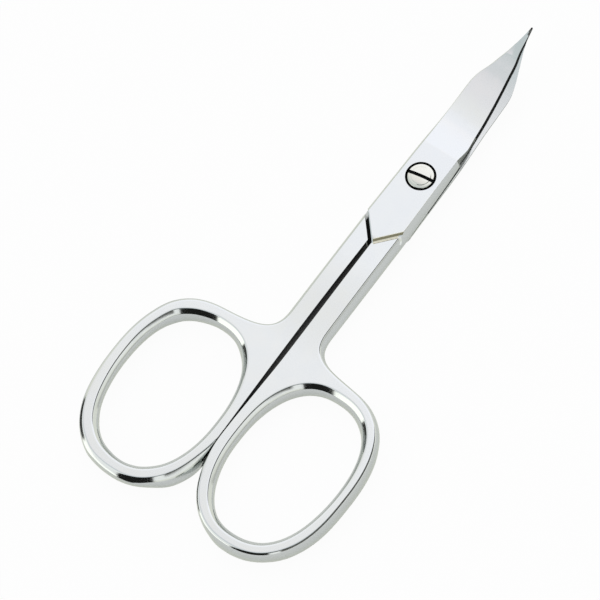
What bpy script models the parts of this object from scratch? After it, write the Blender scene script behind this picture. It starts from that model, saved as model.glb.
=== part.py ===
"""Curved nail scissors: two forged steel halves that cross on a slotted pivot screw.

Frame: +Y runs from the pivot to the tips, +X to the right and +Z up, with the tips
curving up. The origin is on the pivot's axis, in the plane of the box's underside.
The scissors are modelled closed. Each half is first built flat, the upper one as it
lies; the lower half is the same forging turned over about the Y axis. The blades are
curved last, by a rise that depends only on the distance from the pivot, so that the
two lapped faces stay apart at every opening angle.
"""
import math

import bmesh
import bpy
from mathutils import Matrix, Vector

# Reach of the whole object from the pivot
TIP_REACH = 0.0283
BOW_REACH = 0.0613

# Thickness of the box, the shanks and the finger bows, all about one middle plane
BOX_THICKNESS = 0.0038
SHANK_THICKNESS = 0.0034
BOW_THICKNESS = 0.0028
SHANK_TAPER_START = 0.0150

# Clearances between the halves
LAP_GAP = 0.0003
SHANK_GAP = 0.0005
BOW_GAP = 0.0003
V_GAP = 0.00045

# Box: the two lapped plates round the pivot, and the V-shaped tail of each
BOX_HALF_WIDTH = 0.0031
BOX_BULGE = 0.00055
V_APEX_REACH = 0.0120
V_CORNER_REACH = 0.0087
V_NOSE_HALF_WIDTH = 0.0001
V_BEVEL_WIDTH = 0.0006
V_BEVEL_DEPTH = 0.00035
JOIN_DEPTH = 0.0008
JOIN_EMBED = 0.0001
SHANK_TOP_REACH = 0.0075

# Shanks
SHANK_OUTER = 0.00298
SHANK_BULGE = 0.0006

# Finger bows: the hole, the flat face round it at its sides and ends, the round of the
# walls, and the fillet that leads the bow's outer edge into the shank
HOLE_HALF_WIDTH = 0.00895
HOLE_HALF_LENGTH = 0.01275
BOW_SIDE_WIDTH = 0.00128
BOW_END_WIDTH = 0.00155
BOW_BULGE = 0.0006
BOW_SQUARENESS = 2.4
FILLET_START_TURN = math.radians(84)
FILLET_LENGTH = 0.0052
FILLET_BOW_HANDLE = 0.0047
FILLET_SHANK_HANDLE = 0.0049

# Blades
HEEL_REACH = 0.0046
BLADE_BULGE = 0.00015
EDGE_BULGE_LEAST = 0.0001
RISE_START = 0.0030
TIP_RISE = 0.0027

# Pivot screw and its seat
HEAD_RADIUS = 0.00193
HEAD_EDGE_HEIGHT = 0.0007
HEAD_CROWN = 0.00028
RECESS_CLEARANCE = 0.00027
SLOT_WIDTH = 0.00042
SLOT_DEPTH = 0.00045
SLOT_TURN = math.radians(10)
JOURNAL_RADIUS = 0.00125
THREAD_RADIUS = 0.0010
THREAD_PITCH = 0.0004
THREAD_DEPTH = 0.00016
RUNNING_CLEARANCE = 0.00005
SEAT_CLEARANCE = 0.00005
TAIL_CHAMFER = 0.00015
CUT_OVERRUN = 0.0010

# Mesh density
STRAIGHT_STEPS = 9
RING_STEPS = 40
FILLET_STEPS = 7
HOLE_STEPS = 44
BOX_STEPS = 5
BLADE_STEPS = 24
V_STEPS = 3
ROUND_STEPS = 40
THREAD_STEPS = 24
THREAD_RINGS_PER_TURN = 6
CROWN_STEPS = 4

# Wall of shank and bow from the bottom face to the top face: shares of the thickness
WALL_HEIGHT_SHARES = (0.0, 0.14, 0.32, 0.5, 0.68, 0.86, 1.0)

# Wall of box and blade from the lapped face out: shares of height and of the bulge
PLATE_HEIGHT_SHARES = (0.0, 0.45, 1.0 - V_BEVEL_DEPTH / (BOX_THICKNESS / 2), 1.0)
PLATE_BULGE_SHARES = (1.0, 0.8, 0.33, 0.0)

# Back of the blade: share of the tip's reach, then share of the box's half width
BACK_SHARES = (
    (0.0, 0.942), (0.16, 0.92), (0.37, 0.92), (0.58, 0.92), (0.63, 0.887), (0.67, 0.79),
    (0.71, 0.671), (0.77, 0.468), (0.84, 0.284), (0.92, 0.135), (1.0, 0.025),
)
# Cutting edge on the lapped face: shares in the same way
EDGE_SHARES = (
    (0.0, 1.113), (0.10, 1.085), (0.16, 1.035), (0.30, 0.90), (0.44, 0.781), (0.58, 0.622),
    (0.71, 0.455), (0.78, 0.374), (0.85, 0.219), (0.92, 0.12), (1.0, 0.045),
)
# Thickness at the back and at the edge: share of the reach, share of the plate's thickness
BACK_THICKNESS_SHARES = (
    (0.0, 1.0), (0.10, 1.0), (0.21, 0.86), (0.35, 0.69), (0.50, 0.57), (0.60, 0.51),
    (0.71, 0.43), (0.85, 0.29), (1.0, 0.17),
)
EDGE_THICKNESS_SHARES = (
    (0.0, 1.0), (0.16, 1.0), (0.20, 0.78), (0.25, 0.48), (0.31, 0.24), (0.36, 0.17),
    (0.60, 0.16), (1.0, 0.14),
)
EDGE_BULGE_SHARE = 0.3

# Colours and finish
STEEL_COLOUR = (0.78, 0.79, 0.78, 1.0)
SCREW_COLOUR = (0.70, 0.71, 0.69, 1.0)
STEEL_ROUGHNESS = 0.12
SHARP_TURN = math.radians(30)
SCREW_ROUGHNESS = 0.22

# Sizes that follow from the ones above
MIDDLE = BOX_THICKNESS / 2
PLATE_THICKNESS = (BOX_THICKNESS - LAP_GAP) / 2
UPPER_LAP = MIDDLE + LAP_GAP / 2
LOWER_LAP = MIDDLE - LAP_GAP / 2
V_RISE = (V_APEX_REACH - V_CORNER_REACH) / BOX_HALF_WIDTH
V_STRETCH = math.sqrt(1 + V_RISE * V_RISE)
BOW_HALF_WIDTH = HOLE_HALF_WIDTH + BOW_SIDE_WIDTH
BOW_HALF_LENGTH = HOLE_HALF_LENGTH + BOW_END_WIDTH
BOW_CENTRE_X = BOW_HALF_WIDTH + BOW_GAP / 2
BOW_CENTRE_REACH = BOW_REACH - BOW_HALF_LENGTH
BOW_TOP_REACH = BOW_CENTRE_REACH - BOW_HALF_LENGTH
FILLET_SHANK_REACH = BOW_TOP_REACH - FILLET_LENGTH
RECESS_RADIUS = HEAD_RADIUS + RECESS_CLEARANCE
RECESS_FLOOR = BOX_THICKNESS - HEAD_EDGE_HEIGHT - HEAD_CROWN / 2
TAPPED_RADIUS = THREAD_RADIUS + RUNNING_CLEARANCE


def remove_everything():
    for item in list(bpy.data.objects):
        bpy.data.objects.remove(item, do_unlink=True)


def smooth_share(value, start, end):
    """Return 0 at start and 1 at end, with a smooth step between them."""
    share = min(max((value - start) / (end - start), 0.0), 1.0)
    return share * share * (3 - 2 * share)


def value_along(table, share):
    """Read a table of shares at one share, on a smooth curve through its rows."""
    rows = [table[0]] + list(table) + [table[-1]]
    for index in range(1, len(rows) - 2):
        before, start, end, after = rows[index - 1:index + 3]
        if share <= end[0] or index == len(rows) - 3:
            break
    span = end[0] - start[0]
    t = min(max((share - start[0]) / span, 0.0), 1.0)
    slope_in = (end[1] - before[1]) / (end[0] - before[0]) * span
    slope_out = (after[1] - start[1]) / (after[0] - start[0]) * span
    low, high = sorted((start[1], end[1]))
    curve = (
        (2 * t ** 3 - 3 * t ** 2 + 1) * start[1]
        + (t ** 3 - 2 * t ** 2 + t) * slope_in
        + (3 * t ** 2 - 2 * t ** 3) * end[1]
        + (t ** 3 - t ** 2) * slope_out
    )
    return min(max(curve, low), high)


def handle_thickness(reach):
    """Return the thickness of shank or bow at a distance behind the pivot."""
    share = smooth_share(reach, SHANK_TAPER_START, BOW_TOP_REACH)
    return SHANK_THICKNESS + (BOW_THICKNESS - SHANK_THICKNESS) * share


def handle_bulge(reach):
    share = smooth_share(reach, SHANK_TAPER_START, BOW_TOP_REACH)
    return SHANK_BULGE + (BOW_BULGE - SHANK_BULGE) * share


def gap_side(reach):
    """Return the x of the shank's face toward the other half."""
    share = smooth_share(reach, V_APEX_REACH, BOW_CENTRE_REACH)
    return (SHANK_GAP + (BOW_GAP - SHANK_GAP) * share) / 2


def bow_point(half_width, half_length, turn):
    """Return a point of a squarish oval round the bow's centre."""
    power = 2 / BOW_SQUARENESS
    across = math.copysign(abs(math.cos(turn)) ** power, math.cos(turn))
    along = math.copysign(abs(math.sin(turn)) ** power, math.sin(turn))
    return Vector((BOW_CENTRE_X + half_width * across, half_length * along - BOW_CENTRE_REACH))


def bezier(start, first, second, end, t):
    u = 1 - t
    return start * u ** 3 + first * (3 * u * u * t) + second * (3 * u * t * t) + end * t ** 3


def handle_outline():
    """Return the flat face's outer edge for the right shank and bow, anticlockwise."""
    points = []
    for step in range(STRAIGHT_STEPS):
        share = step / STRAIGHT_STEPS
        reach = SHANK_TOP_REACH + (BOW_CENTRE_REACH - SHANK_TOP_REACH) * share
        points.append(Vector((gap_side(reach), -reach)))
    for step in range(RING_STEPS + 1):
        turn = math.pi + (math.pi + FILLET_START_TURN) * step / RING_STEPS
        point = bow_point(BOW_HALF_WIDTH, BOW_HALF_LENGTH, turn)
        point.x = max(point.x, gap_side(-point.y))
        points.append(point)
    start = points[-1]
    tangent = (start - points[-2]).normalized()
    end = Vector((SHANK_OUTER, -FILLET_SHANK_REACH))
    first = start + tangent * FILLET_BOW_HANDLE
    second = end - Vector((0, FILLET_SHANK_HANDLE))
    for step in range(1, FILLET_STEPS + 1):
        points.append(bezier(start, first, second, end, step / FILLET_STEPS))
    for step in range(1, STRAIGHT_STEPS // 2 + 1):
        share = step / (STRAIGHT_STEPS // 2)
        reach = FILLET_SHANK_REACH + (SHANK_TOP_REACH - FILLET_SHANK_REACH) * share
        points.append(Vector((SHANK_OUTER, -reach)))
    return points


def hole_outline():
    """Return the flat face's inner edge round the finger hole, clockwise."""
    turns = [-2 * math.pi * step / HOLE_STEPS for step in range(HOLE_STEPS)]
    return [bow_point(HOLE_HALF_WIDTH, HOLE_HALF_LENGTH, turn) for turn in turns]


def outward_normals(points):
    """Return each corner's offset direction, to the right of the way round."""
    normals = []
    for index, point in enumerate(points):
        before = (point - points[index - 1]).normalized()
        after = (points[(index + 1) % len(points)] - point).normalized()
        side = Vector((before.y, -before.x)) + Vector((after.y, -after.x))
        side.normalize()
        normals.append(side / max(side.dot(Vector((after.y, -after.x))), 0.5))
    return normals


def wall_rings(points):
    """Return one ring of the wall for each height share, from bottom to top."""
    normals = outward_normals(points)
    rings = []
    for share in WALL_HEIGHT_SHARES:
        ring = []
        for point, normal in zip(points, normals):
            out = handle_bulge(-point.y) * 4 * share * (1 - share)
            place = point + normal * out
            place.x = max(place.x, gap_side(-place.y))
            height = MIDDLE + handle_thickness(-point.y) * (share - 0.5)
            ring.append(Vector((place.x, place.y, height)))
        rings.append(ring)
    return rings


def add_ring(bm, points):
    """Add a closed chain of edges through the points and return its vertices."""
    verts = [bm.verts.new(point) for point in points]
    for index, vert in enumerate(verts):
        bm.edges.new((verts[index - 1], vert))
    return verts


def ring_edges(bm, verts):
    return [bm.edges.get((verts[index - 1], vert)) for index, vert in enumerate(verts)]


def extrude_ring(bm, verts, points):
    """Extrude a closed chain once and move its new vertices to the points."""
    made = bmesh.ops.extrude_edge_only(bm, edges=ring_edges(bm, verts))["geom"]
    fresh = {item for item in made if isinstance(item, bmesh.types.BMVert)}
    following = []
    for vert, point in zip(verts, points):
        partner = next(e.other_vert(vert) for e in vert.link_edges if e.other_vert(vert) in fresh)
        partner.co = point
        following.append(partner)
    return following


def loft(bm, rings):
    """Skin a row of rings and return the vertices of the first and the last one."""
    first = add_ring(bm, rings[0])
    last = first
    for ring in rings[1:]:
        last = extrude_ring(bm, last, ring)
    return first, last


def cap(bm, *chains):
    """Fill the flat face inside one chain, or between an outer and an inner one."""
    edges = [edge for chain in chains for edge in ring_edges(bm, chain)]
    bmesh.ops.triangle_fill(bm, edges=edges, use_beauty=True, use_dissolve=False)


def finish_mesh(bm, name):
    bmesh.ops.recalc_face_normals(bm, faces=bm.faces)
    mesh = bpy.data.meshes.new(name)
    bm.to_mesh(mesh)
    bm.free()
    return mesh


def handle_mesh():
    """Model the right shank with its bow, at full thickness."""
    bm = bmesh.new()
    outer_bottom, outer_top = loft(bm, wall_rings(handle_outline()))
    hole_bottom, hole_top = loft(bm, wall_rings(hole_outline()))
    cap(bm, outer_bottom, hole_bottom)
    cap(bm, outer_top, hole_top)
    return finish_mesh(bm, "handle")


def v_corner(side, level, side_offset, v_offset):
    """Return a corner of the V tail, where its edge meets the side of the box."""
    across = BOX_HALF_WIDTH + side_offset
    along = V_RISE * across - V_APEX_REACH - v_offset * V_STRETCH
    return Vector((side * across, along, level))


def v_ribs():
    """Return the ribs of the V tail, from its nose to its corners."""
    ribs = []
    left_offsets = (0.0, 0.0, 0.0, -V_BEVEL_WIDTH)
    right_offsets = (JOIN_DEPTH, JOIN_DEPTH, 0.0, -V_BEVEL_WIDTH)
    for step in range(V_STEPS + 1):
        left = []
        right = []
        for level in range(len(PLATE_HEIGHT_SHARES)):
            height = UPPER_LAP + PLATE_THICKNESS * PLATE_HEIGHT_SHARES[level]
            bulge = BOX_BULGE * PLATE_BULGE_SHARES[level]
            shift = (right_offsets[level] - left_offsets[level]) * V_STRETCH / (2 * V_RISE)
            nose_y = -V_APEX_REACH - left_offsets[level] * V_STRETCH - V_RISE * shift
            for side, offset, rib in ((-1, left_offsets[level], left), (1, right_offsets[level], right)):
                nose = Vector((
                    shift + side * V_NOSE_HALF_WIDTH,
                    nose_y + V_RISE * V_NOSE_HALF_WIDTH,
                    height,
                ))
                corner = v_corner(side, height, bulge, offset)
                rib.append(nose.lerp(corner, step / V_STEPS))
        ribs.append(left + right[::-1])
    return ribs


def side_rib(reach):
    """Return one rib across box or blade at a distance from the pivot along Y."""
    share = max(reach, 0.0) / TIP_REACH
    tail_share = max(-reach, 0.0) / V_CORNER_REACH
    back = value_along(BACK_SHARES, share)
    back += (1 - back) * tail_share
    edge = value_along(EDGE_SHARES, share)
    edge += (1 + BOX_BULGE / BOX_HALF_WIDTH - edge) * tail_share
    back_thickness = PLATE_THICKNESS * value_along(BACK_THICKNESS_SHARES, share)
    edge_thickness = PLATE_THICKNESS * value_along(EDGE_THICKNESS_SHARES, share)
    past_heel = smooth_share(reach, 0.0, 2 * HEEL_REACH)
    back_bulge = BOX_BULGE + (BLADE_BULGE - BOX_BULGE) * past_heel
    edge_bulge = min(BOX_BULGE, EDGE_BULGE_SHARE * edge_thickness + EDGE_BULGE_LEAST * past_heel)
    if reach < HEEL_REACH:
        edge_bulge = BOX_BULGE
    left = []
    right = []
    for height_share, bulge_share in zip(PLATE_HEIGHT_SHARES, PLATE_BULGE_SHARES):
        left_x = -BOX_HALF_WIDTH * back - back_bulge * bulge_share
        right_x = BOX_HALF_WIDTH * edge - edge_bulge * (1 - bulge_share)
        left.append(Vector((left_x, reach, UPPER_LAP + back_thickness * height_share)))
        right.append(Vector((right_x, reach, UPPER_LAP + edge_thickness * height_share)))
    return left + right[::-1]


def plate_mesh():
    """Model the V tail, the box's plate and the blade, still flat on the lapped face."""
    ribs = v_ribs()
    box_start = V_BEVEL_WIDTH * V_STRETCH + JOIN_DEPTH - V_CORNER_REACH
    for step in range(BOX_STEPS):
        ribs.append(side_rib(box_start + (HEEL_REACH - box_start) * step / BOX_STEPS))
    for step in range(BLADE_STEPS + 1):
        ribs.append(side_rib(HEEL_REACH + (TIP_REACH - HEEL_REACH) * step / BLADE_STEPS))
    bm = bmesh.new()
    first, last = loft(bm, ribs)
    cap(bm, first)
    cap(bm, last)
    return finish_mesh(bm, "plate")


def shoulder_cutter_mesh():
    """Model the space that the other half's V tail and plate take beside the shank."""
    apex = -V_APEX_REACH - V_GAP * V_STRETCH
    reach = 2 * BOX_HALF_WIDTH
    outline = [
        Vector((0, apex)),
        Vector((reach, apex + V_RISE * reach)),
        Vector((reach, 0)),
        Vector((-reach, 0)),
        Vector((-reach, apex + V_RISE * reach)),
    ]
    heights = (-CUT_OVERRUN, UPPER_LAP + JOIN_EMBED)
    bm = bmesh.new()
    rings = [[Vector((point.x, point.y, height)) for point in outline] for height in heights]
    first, last = loft(bm, rings)
    cap(bm, first)
    cap(bm, last)
    return finish_mesh(bm, "shoulder_cutter")


def turned_rings(profile, steps):
    """Return a ring round the Z axis for each radius and height of a profile."""
    turns = [2 * math.pi * step / steps for step in range(steps)]
    return [
        [Vector((radius * math.cos(turn), radius * math.sin(turn), height)) for turn in turns]
        for radius, height in profile
    ]


def turned_mesh(profile, name):
    bm = bmesh.new()
    first, last = loft(bm, turned_rings(profile, ROUND_STEPS))
    cap(bm, first)
    cap(bm, last)
    return finish_mesh(bm, name)


def thread_rings(bottom, top, radius, depth):
    """Return rings of a right-hand thread between two heights."""
    count = math.ceil((top - bottom) / THREAD_PITCH * THREAD_RINGS_PER_TURN)
    rings = []
    for step in range(count + 1):
        height = bottom + (top - bottom) * step / count
        ring = []
        for index in range(THREAD_STEPS):
            turn = 2 * math.pi * index / THREAD_STEPS
            phase = 2 * math.pi * height / THREAD_PITCH - turn
            reach = radius - depth * (0.5 - 0.5 * math.cos(phase))
            ring.append(Vector((reach * math.cos(turn), reach * math.sin(turn), height)))
        rings.append(ring)
    return rings


def screw_mesh():
    """Model the head and the plain journal of the screw."""
    head_bottom = RECESS_FLOOR + SEAT_CLEARANCE
    head_edge = head_bottom + HEAD_EDGE_HEIGHT
    seat = LOWER_LAP + SEAT_CLEARANCE
    profile = [
        (JOURNAL_RADIUS - TAIL_CHAMFER, seat),
        (JOURNAL_RADIUS, seat + TAIL_CHAMFER),
        (JOURNAL_RADIUS, head_bottom),
        (HEAD_RADIUS, head_bottom),
        (HEAD_RADIUS, head_edge),
    ]
    for step in range(1, CROWN_STEPS + 1):
        share = step / (CROWN_STEPS + 1)
        radius = HEAD_RADIUS * (1 - share)
        profile.append((radius, head_edge + HEAD_CROWN * (1 - (1 - share) ** 2)))
    return turned_mesh(profile, "screw_head")


def tail_mesh():
    """Model the threaded tail, with a chamfered end flush with the underside."""
    seat = LOWER_LAP + SEAT_CLEARANCE
    root = THREAD_RADIUS - THREAD_DEPTH
    rings = thread_rings(TAIL_CHAMFER, seat + JOIN_DEPTH, THREAD_RADIUS, THREAD_DEPTH)
    end = turned_rings([(root - TAIL_CHAMFER, 0)], THREAD_STEPS)
    bm = bmesh.new()
    first, last = loft(bm, end + rings)
    cap(bm, first)
    cap(bm, last)
    return finish_mesh(bm, "screw_tail")


def tapped_cutter_mesh():
    """Model the tapped hole of the lower plate as a solid to cut away."""
    rings = thread_rings(-CUT_OVERRUN, MIDDLE, TAPPED_RADIUS, THREAD_DEPTH)
    bm = bmesh.new()
    first, last = loft(bm, rings)
    cap(bm, first)
    cap(bm, last)
    return finish_mesh(bm, "tapped_cutter")


def new_object(name, mesh):
    item = bpy.data.objects.new(name, mesh)
    bpy.context.collection.objects.link(item)
    return item


def combine(target, tool_mesh, operation):
    """Apply one exact Boolean of a scratch mesh to an object and drop the scratch object."""
    tool = new_object(target.name + "_tool", tool_mesh)
    tool.hide_render = True
    tool.display_type = "WIRE"
    modifier = target.modifiers.new(operation.lower(), "BOOLEAN")
    modifier.operation = operation
    modifier.solver = "EXACT"
    modifier.object = tool
    bpy.context.view_layer.update()
    evaluated = target.evaluated_get(bpy.context.evaluated_depsgraph_get())
    result = bpy.data.meshes.new_from_object(evaluated)
    target.modifiers.clear()
    target.data = result
    bpy.data.objects.remove(tool, do_unlink=True)


def rise_at(distance):
    """Return how far the blade has curved up at a distance from the pivot."""
    run = max(distance - RISE_START, 0.0) / (TIP_REACH - RISE_START)
    return TIP_RISE * run * run


def curve_blade(mesh):
    for vertex in mesh.vertices:
        if vertex.co.y > 0:
            vertex.co.z += rise_at(math.hypot(vertex.co.x, vertex.co.y))


def flat_half(name):
    """Model one forging, flat, lying as the upper half does."""
    half = new_object(name, handle_mesh())
    combine(half, shoulder_cutter_mesh(), "DIFFERENCE")
    combine(half, plate_mesh(), "UNION")
    return half


def build_upper_half():
    half = flat_half("upper_half")
    journal_bore = JOURNAL_RADIUS + RUNNING_CLEARANCE
    bore = [(journal_bore, MIDDLE), (journal_bore, BOX_THICKNESS)]
    recess = [(RECESS_RADIUS, RECESS_FLOOR), (RECESS_RADIUS, BOX_THICKNESS + CUT_OVERRUN)]
    combine(half, turned_mesh(bore, "journal_bore"), "DIFFERENCE")
    combine(half, turned_mesh(recess, "head_recess"), "DIFFERENCE")
    curve_blade(half.data)
    return half


def build_lower_half():
    half = flat_half("lower_half")
    turn_over = Matrix.Translation((0, 0, BOX_THICKNESS)) @ Matrix.Rotation(math.pi, 4, "Y")
    half.data.transform(turn_over)
    combine(half, tapped_cutter_mesh(), "DIFFERENCE")
    curve_blade(half.data)
    return half


def build_screw():
    screw = new_object("pivot_screw", screw_mesh())
    combine(screw, tail_mesh(), "UNION")
    slot_top = BOX_THICKNESS + CUT_OVERRUN
    slot_floor = RECESS_FLOOR + SEAT_CLEARANCE + HEAD_EDGE_HEIGHT + HEAD_CROWN - SLOT_DEPTH
    length = 2 * (HEAD_RADIUS + CUT_OVERRUN)
    bm = bmesh.new()
    bmesh.ops.create_cube(bm, size=1)
    size = Vector((length, SLOT_WIDTH, slot_top - slot_floor))
    bmesh.ops.scale(bm, vec=size, verts=bm.verts)
    bmesh.ops.translate(bm, vec=(0, 0, (slot_top + slot_floor) / 2), verts=bm.verts)
    turn = Matrix.Rotation(SLOT_TURN, 3, "Z")
    bmesh.ops.rotate(bm, cent=(0, 0, 0), matrix=turn, verts=bm.verts)
    combine(screw, finish_mesh(bm, "slot"), "DIFFERENCE")
    return screw


def steel(name, colour, roughness):
    material = bpy.data.materials.new(name)
    material.use_nodes = True
    shader = material.node_tree.nodes["Principled BSDF"]
    shader.inputs["Base Color"].default_value = colour
    shader.inputs["Metallic"].default_value = 1.0
    shader.inputs["Roughness"].default_value = roughness
    return material


def finish(item, material):
    item.data.name = item.name
    item.data.materials.clear()
    item.data.materials.append(material)
    item.data.shade_smooth()
    item.data.set_sharp_from_angle(angle=SHARP_TURN)


def main():
    remove_everything()
    upper = build_upper_half()
    lower = build_lower_half()
    screw = build_screw()
    finish(upper, steel("upper_steel", STEEL_COLOUR, STEEL_ROUGHNESS))
    finish(lower, steel("lower_steel", STEEL_COLOUR, STEEL_ROUGHNESS))
    finish(screw, steel("screw_steel", SCREW_COLOUR, SCREW_ROUGHNESS))
    pivot = bpy.data.objects.new("blade_pivot", None)
    bpy.context.collection.objects.link(pivot)
    upper.parent = pivot


main()
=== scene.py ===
"""Curved nail scissors with finely finished surfaces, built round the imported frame.

Frame: +Y runs from the pivot to the tips, +X to the right and +Z up. The origin is on the
pivot's axis, in the plane of the underside. Each half is modelled flat, as the upper one
lies, from a wrapped sheet for its walls, a wrapped sheet for plate and blade, and a few
cuts. The lower half is modelled the same way from its own tables, and then turned over. The
blades are curved up last.
"""
import math

import bmesh
import bpy
from bpy.props import FloatProperty, FloatVectorProperty, PointerProperty
from mathutils import Matrix, Vector


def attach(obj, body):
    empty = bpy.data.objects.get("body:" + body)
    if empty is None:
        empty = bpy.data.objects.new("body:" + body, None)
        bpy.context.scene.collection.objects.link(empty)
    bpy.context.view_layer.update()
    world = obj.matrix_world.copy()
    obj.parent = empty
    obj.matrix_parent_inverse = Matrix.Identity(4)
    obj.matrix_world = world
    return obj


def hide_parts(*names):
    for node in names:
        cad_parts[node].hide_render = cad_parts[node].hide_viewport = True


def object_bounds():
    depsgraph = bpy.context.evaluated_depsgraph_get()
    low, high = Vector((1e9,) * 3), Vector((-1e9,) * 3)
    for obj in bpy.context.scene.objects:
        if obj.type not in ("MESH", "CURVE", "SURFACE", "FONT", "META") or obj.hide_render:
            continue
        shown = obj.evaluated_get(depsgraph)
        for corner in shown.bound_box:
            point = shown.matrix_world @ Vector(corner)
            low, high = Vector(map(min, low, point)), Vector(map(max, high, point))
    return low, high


bl_info = {
    "name": "Curved Nail Scissors",
    "version": (1, 0, 0),
    "blender": (4, 5, 0),
    "location": "3D View > Sidebar > Nail Scissors",
    "description": "Models curved nail scissors with their studio, round a packed frame",
    "category": "Object",
}

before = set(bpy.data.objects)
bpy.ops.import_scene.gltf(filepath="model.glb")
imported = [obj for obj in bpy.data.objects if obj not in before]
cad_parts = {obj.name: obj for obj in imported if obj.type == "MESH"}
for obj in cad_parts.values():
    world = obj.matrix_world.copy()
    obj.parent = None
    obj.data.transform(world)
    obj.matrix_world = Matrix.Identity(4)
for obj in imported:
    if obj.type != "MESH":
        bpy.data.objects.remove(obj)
CAD_LOW, CAD_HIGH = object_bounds()

# Mesh density: steps along each part of the outlines, and round each edge
GAP_SIDE_STEPS = 30
RING_STEPS = 190
FILLET_STEPS = 30
SHANK_STEPS = 14
HOLE_STEPS = 176
EDGE_STEPS = 4
TAPER_CUTS = 16
V_STEPS = 8
BOX_STEPS = 6
HEEL_STEPS = 14
BLADE_STEPS = 80
TURNED_STEPS = 128

# Shapes given as shares of the sizes. Each blade is ground by hand, so their backs differ
UPPER_BACK_SHARES = (
    (0.0, 0.95), (0.162, 0.935), (0.375, 0.935), (0.52, 0.93), (0.59, 0.918), (0.617, 0.89),
    (0.64, 0.849), (0.671, 0.761), (0.708, 0.625), (0.738, 0.528), (0.774, 0.44),
    (0.806, 0.355), (0.838, 0.283), (0.877, 0.215), (0.93, 0.118), (1.0, 0.02),
)
LOWER_BACK_SHARES = (
    (0.0, 0.96), (0.162, 0.95), (0.375, 0.95), (0.587, 0.955), (0.638, 0.925), (0.678, 0.83),
    (0.719, 0.71), (0.78, 0.5), (0.85, 0.29), (0.89, 0.18), (0.94, 0.08), (1.0, 0.0),
)
EDGE_SHARES = (
    (0.0, 1.145), (0.10, 1.115), (0.158, 1.085), (0.175, 1.08), (0.189, 0.985), (0.21, 0.975),
    (0.25, 0.965), (0.311, 0.93), (0.353, 0.895), (0.45, 0.81), (0.59, 0.65),
    (0.72, 0.475), (0.79, 0.385), (0.861, 0.23), (0.932, 0.125), (1.0, 0.03),
)
BACK_THICKNESS_SHARES = (
    (0.0, 1.0), (0.10, 1.0), (0.21, 0.86), (0.35, 0.69), (0.50, 0.57), (0.60, 0.51),
    (0.71, 0.43), (0.85, 0.29), (1.0, 0.17),
)
EDGE_THICKNESS_SHARES = (
    (0.0, 1.0), (0.175, 1.0), (0.21, 0.80), (0.26, 0.52), (0.32, 0.27), (0.365, 0.17),
    (0.60, 0.16), (1.0, 0.12),
)
# The screw's domed head from its rim inward: shares of its radius and of its crown
HEAD_PROFILE = (
    (1.0, 0.20), (0.997, 0.31), (0.99, 0.40), (0.98, 0.46), (0.965, 0.501), (0.81, 0.590),
    (0.79, 0.603), (0.775, 0.622), (0.76, 0.655), (0.745, 0.694), (0.73, 0.729),
    (0.715, 0.752), (0.70, 0.766), (0.6, 0.828), (0.45, 0.903), (0.25, 0.970), (0.06, 0.998),
)
# Heights of a rib's points, and depths of a wall's points on its bevel and below it
WALL_LEVELS = (0.22, 0.45, 0.62)
STEP_LEVELS = (0.892, 0.909, 0.927, 0.935, 0.975)
HIGHEST_SEAM_LEVEL = 0.6 * WALL_LEVELS[0]
BEVEL_SHARES = (0.62, 0.93, 1.07)
SWELL_SHARES = (0.18, 0.34, 0.5, 0.66, 0.82)
SOFTENING_SHARE = 0.04
# Where along the blade its bulge and its edge's lean change, as shares of its reach
BULGE_END_SHARE = 0.45
BULGE_FADE_SHARE = 0.75
LEAN_FADE_SHARE = 0.8
LEAN_LOSS = 0.8
# The heel's facet and the flat face's edge, as shares of the box's half width
FACET_SHARE = 1.085
FLAT_SHARE = 0.958
# The bows, their rims and the fillets to the shanks
BOW_SQUARENESS = 2.4
END_SLIMMING_SHARE = 0.7
FILLET_ROUND_START = 0.35
FILLET_START_TURN = math.radians(84)
STEEP_RIM_ENDS = (math.radians(246), math.radians(262))
LEAST_BEVEL_SHARE = 0.6
# Round each bow, how the forging strays from its oval. In each row: turn in degrees, shift
# of the flat face's edge, width of the bevel, flare of the wall (all in mm), and roundness
UPPER_RIM = (
    (180, 0.0, 0.0, 0.0, 0.0), (193, -0.08, 0.02, 0.0, 0.0), (205, -0.36, 0.27, 0.0, 0.0),
    (225, -0.42, 0.28, 0.0, 0.0), (242, -0.36, 0.27, 0.03, 0.0), (255, -0.20, 0.27, 0.10, 0.0),
    (268, -0.02, 0.27, 0.32, 0.0), (280, 0.0, 0.27, 0.27, 0.0), (300, 0.03, 0.27, 0.15, 0.0),
    (315, 0.04, 0.27, 0.23, 0.0), (330, 0.04, 0.27, 0.27, 0.0), (345, -0.02, 0.27, 0.33, 0.0),
    (360, -0.10, 0.27, 0.33, 0.0), (390, -0.08, 0.27, 0.33, 0.1), (405, -0.09, 0.27, 0.22, 0.45),
    (420, -0.22, 0.27, 0.10, 0.6), (435, -0.24, 0.27, 0.0, 0.4), (444, -0.17, 0.27, 0.0, 0.2),
)
LOWER_RIM = (
    (180, -0.05, 0.0, 0.0, 0.0), (190, -0.25, 0.25, 0.0, 0.0), (200, -0.45, 0.55, 0.25, 0.0),
    (210, -0.49, 0.73, 0.38, 0.0), (225, -0.40, 0.72, 0.28, 0.0), (240, -0.33, 0.60, -0.05, 0.0),
    (255, -0.16, 0.70, -0.28, 0.0), (268, -0.10, 0.60, -0.10, 0.0), (280, -0.13, 0.50, 0.0, 0.0),
    (290, -0.15, 0.55, 0.0, 0.0), (300, -0.20, 0.53, 0.0, 0.0), (315, -0.13, 0.50, 0.0, 0.0),
    (330, -0.07, 0.48, 0.0, 0.0), (345, -0.07, 0.45, 0.0, 0.0), (360, 0.03, 0.38, 0.0, 0.0),
    (390, 0.08, 0.40, 0.0, 0.0), (405, 0.20, 0.37, 0.0, 0.0), (420, 0.10, 0.28, 0.0, 0.0),
    (435, -0.10, 0.27, 0.0, 0.0), (444, -0.13, 0.27, 0.0, 0.0),
)
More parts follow.
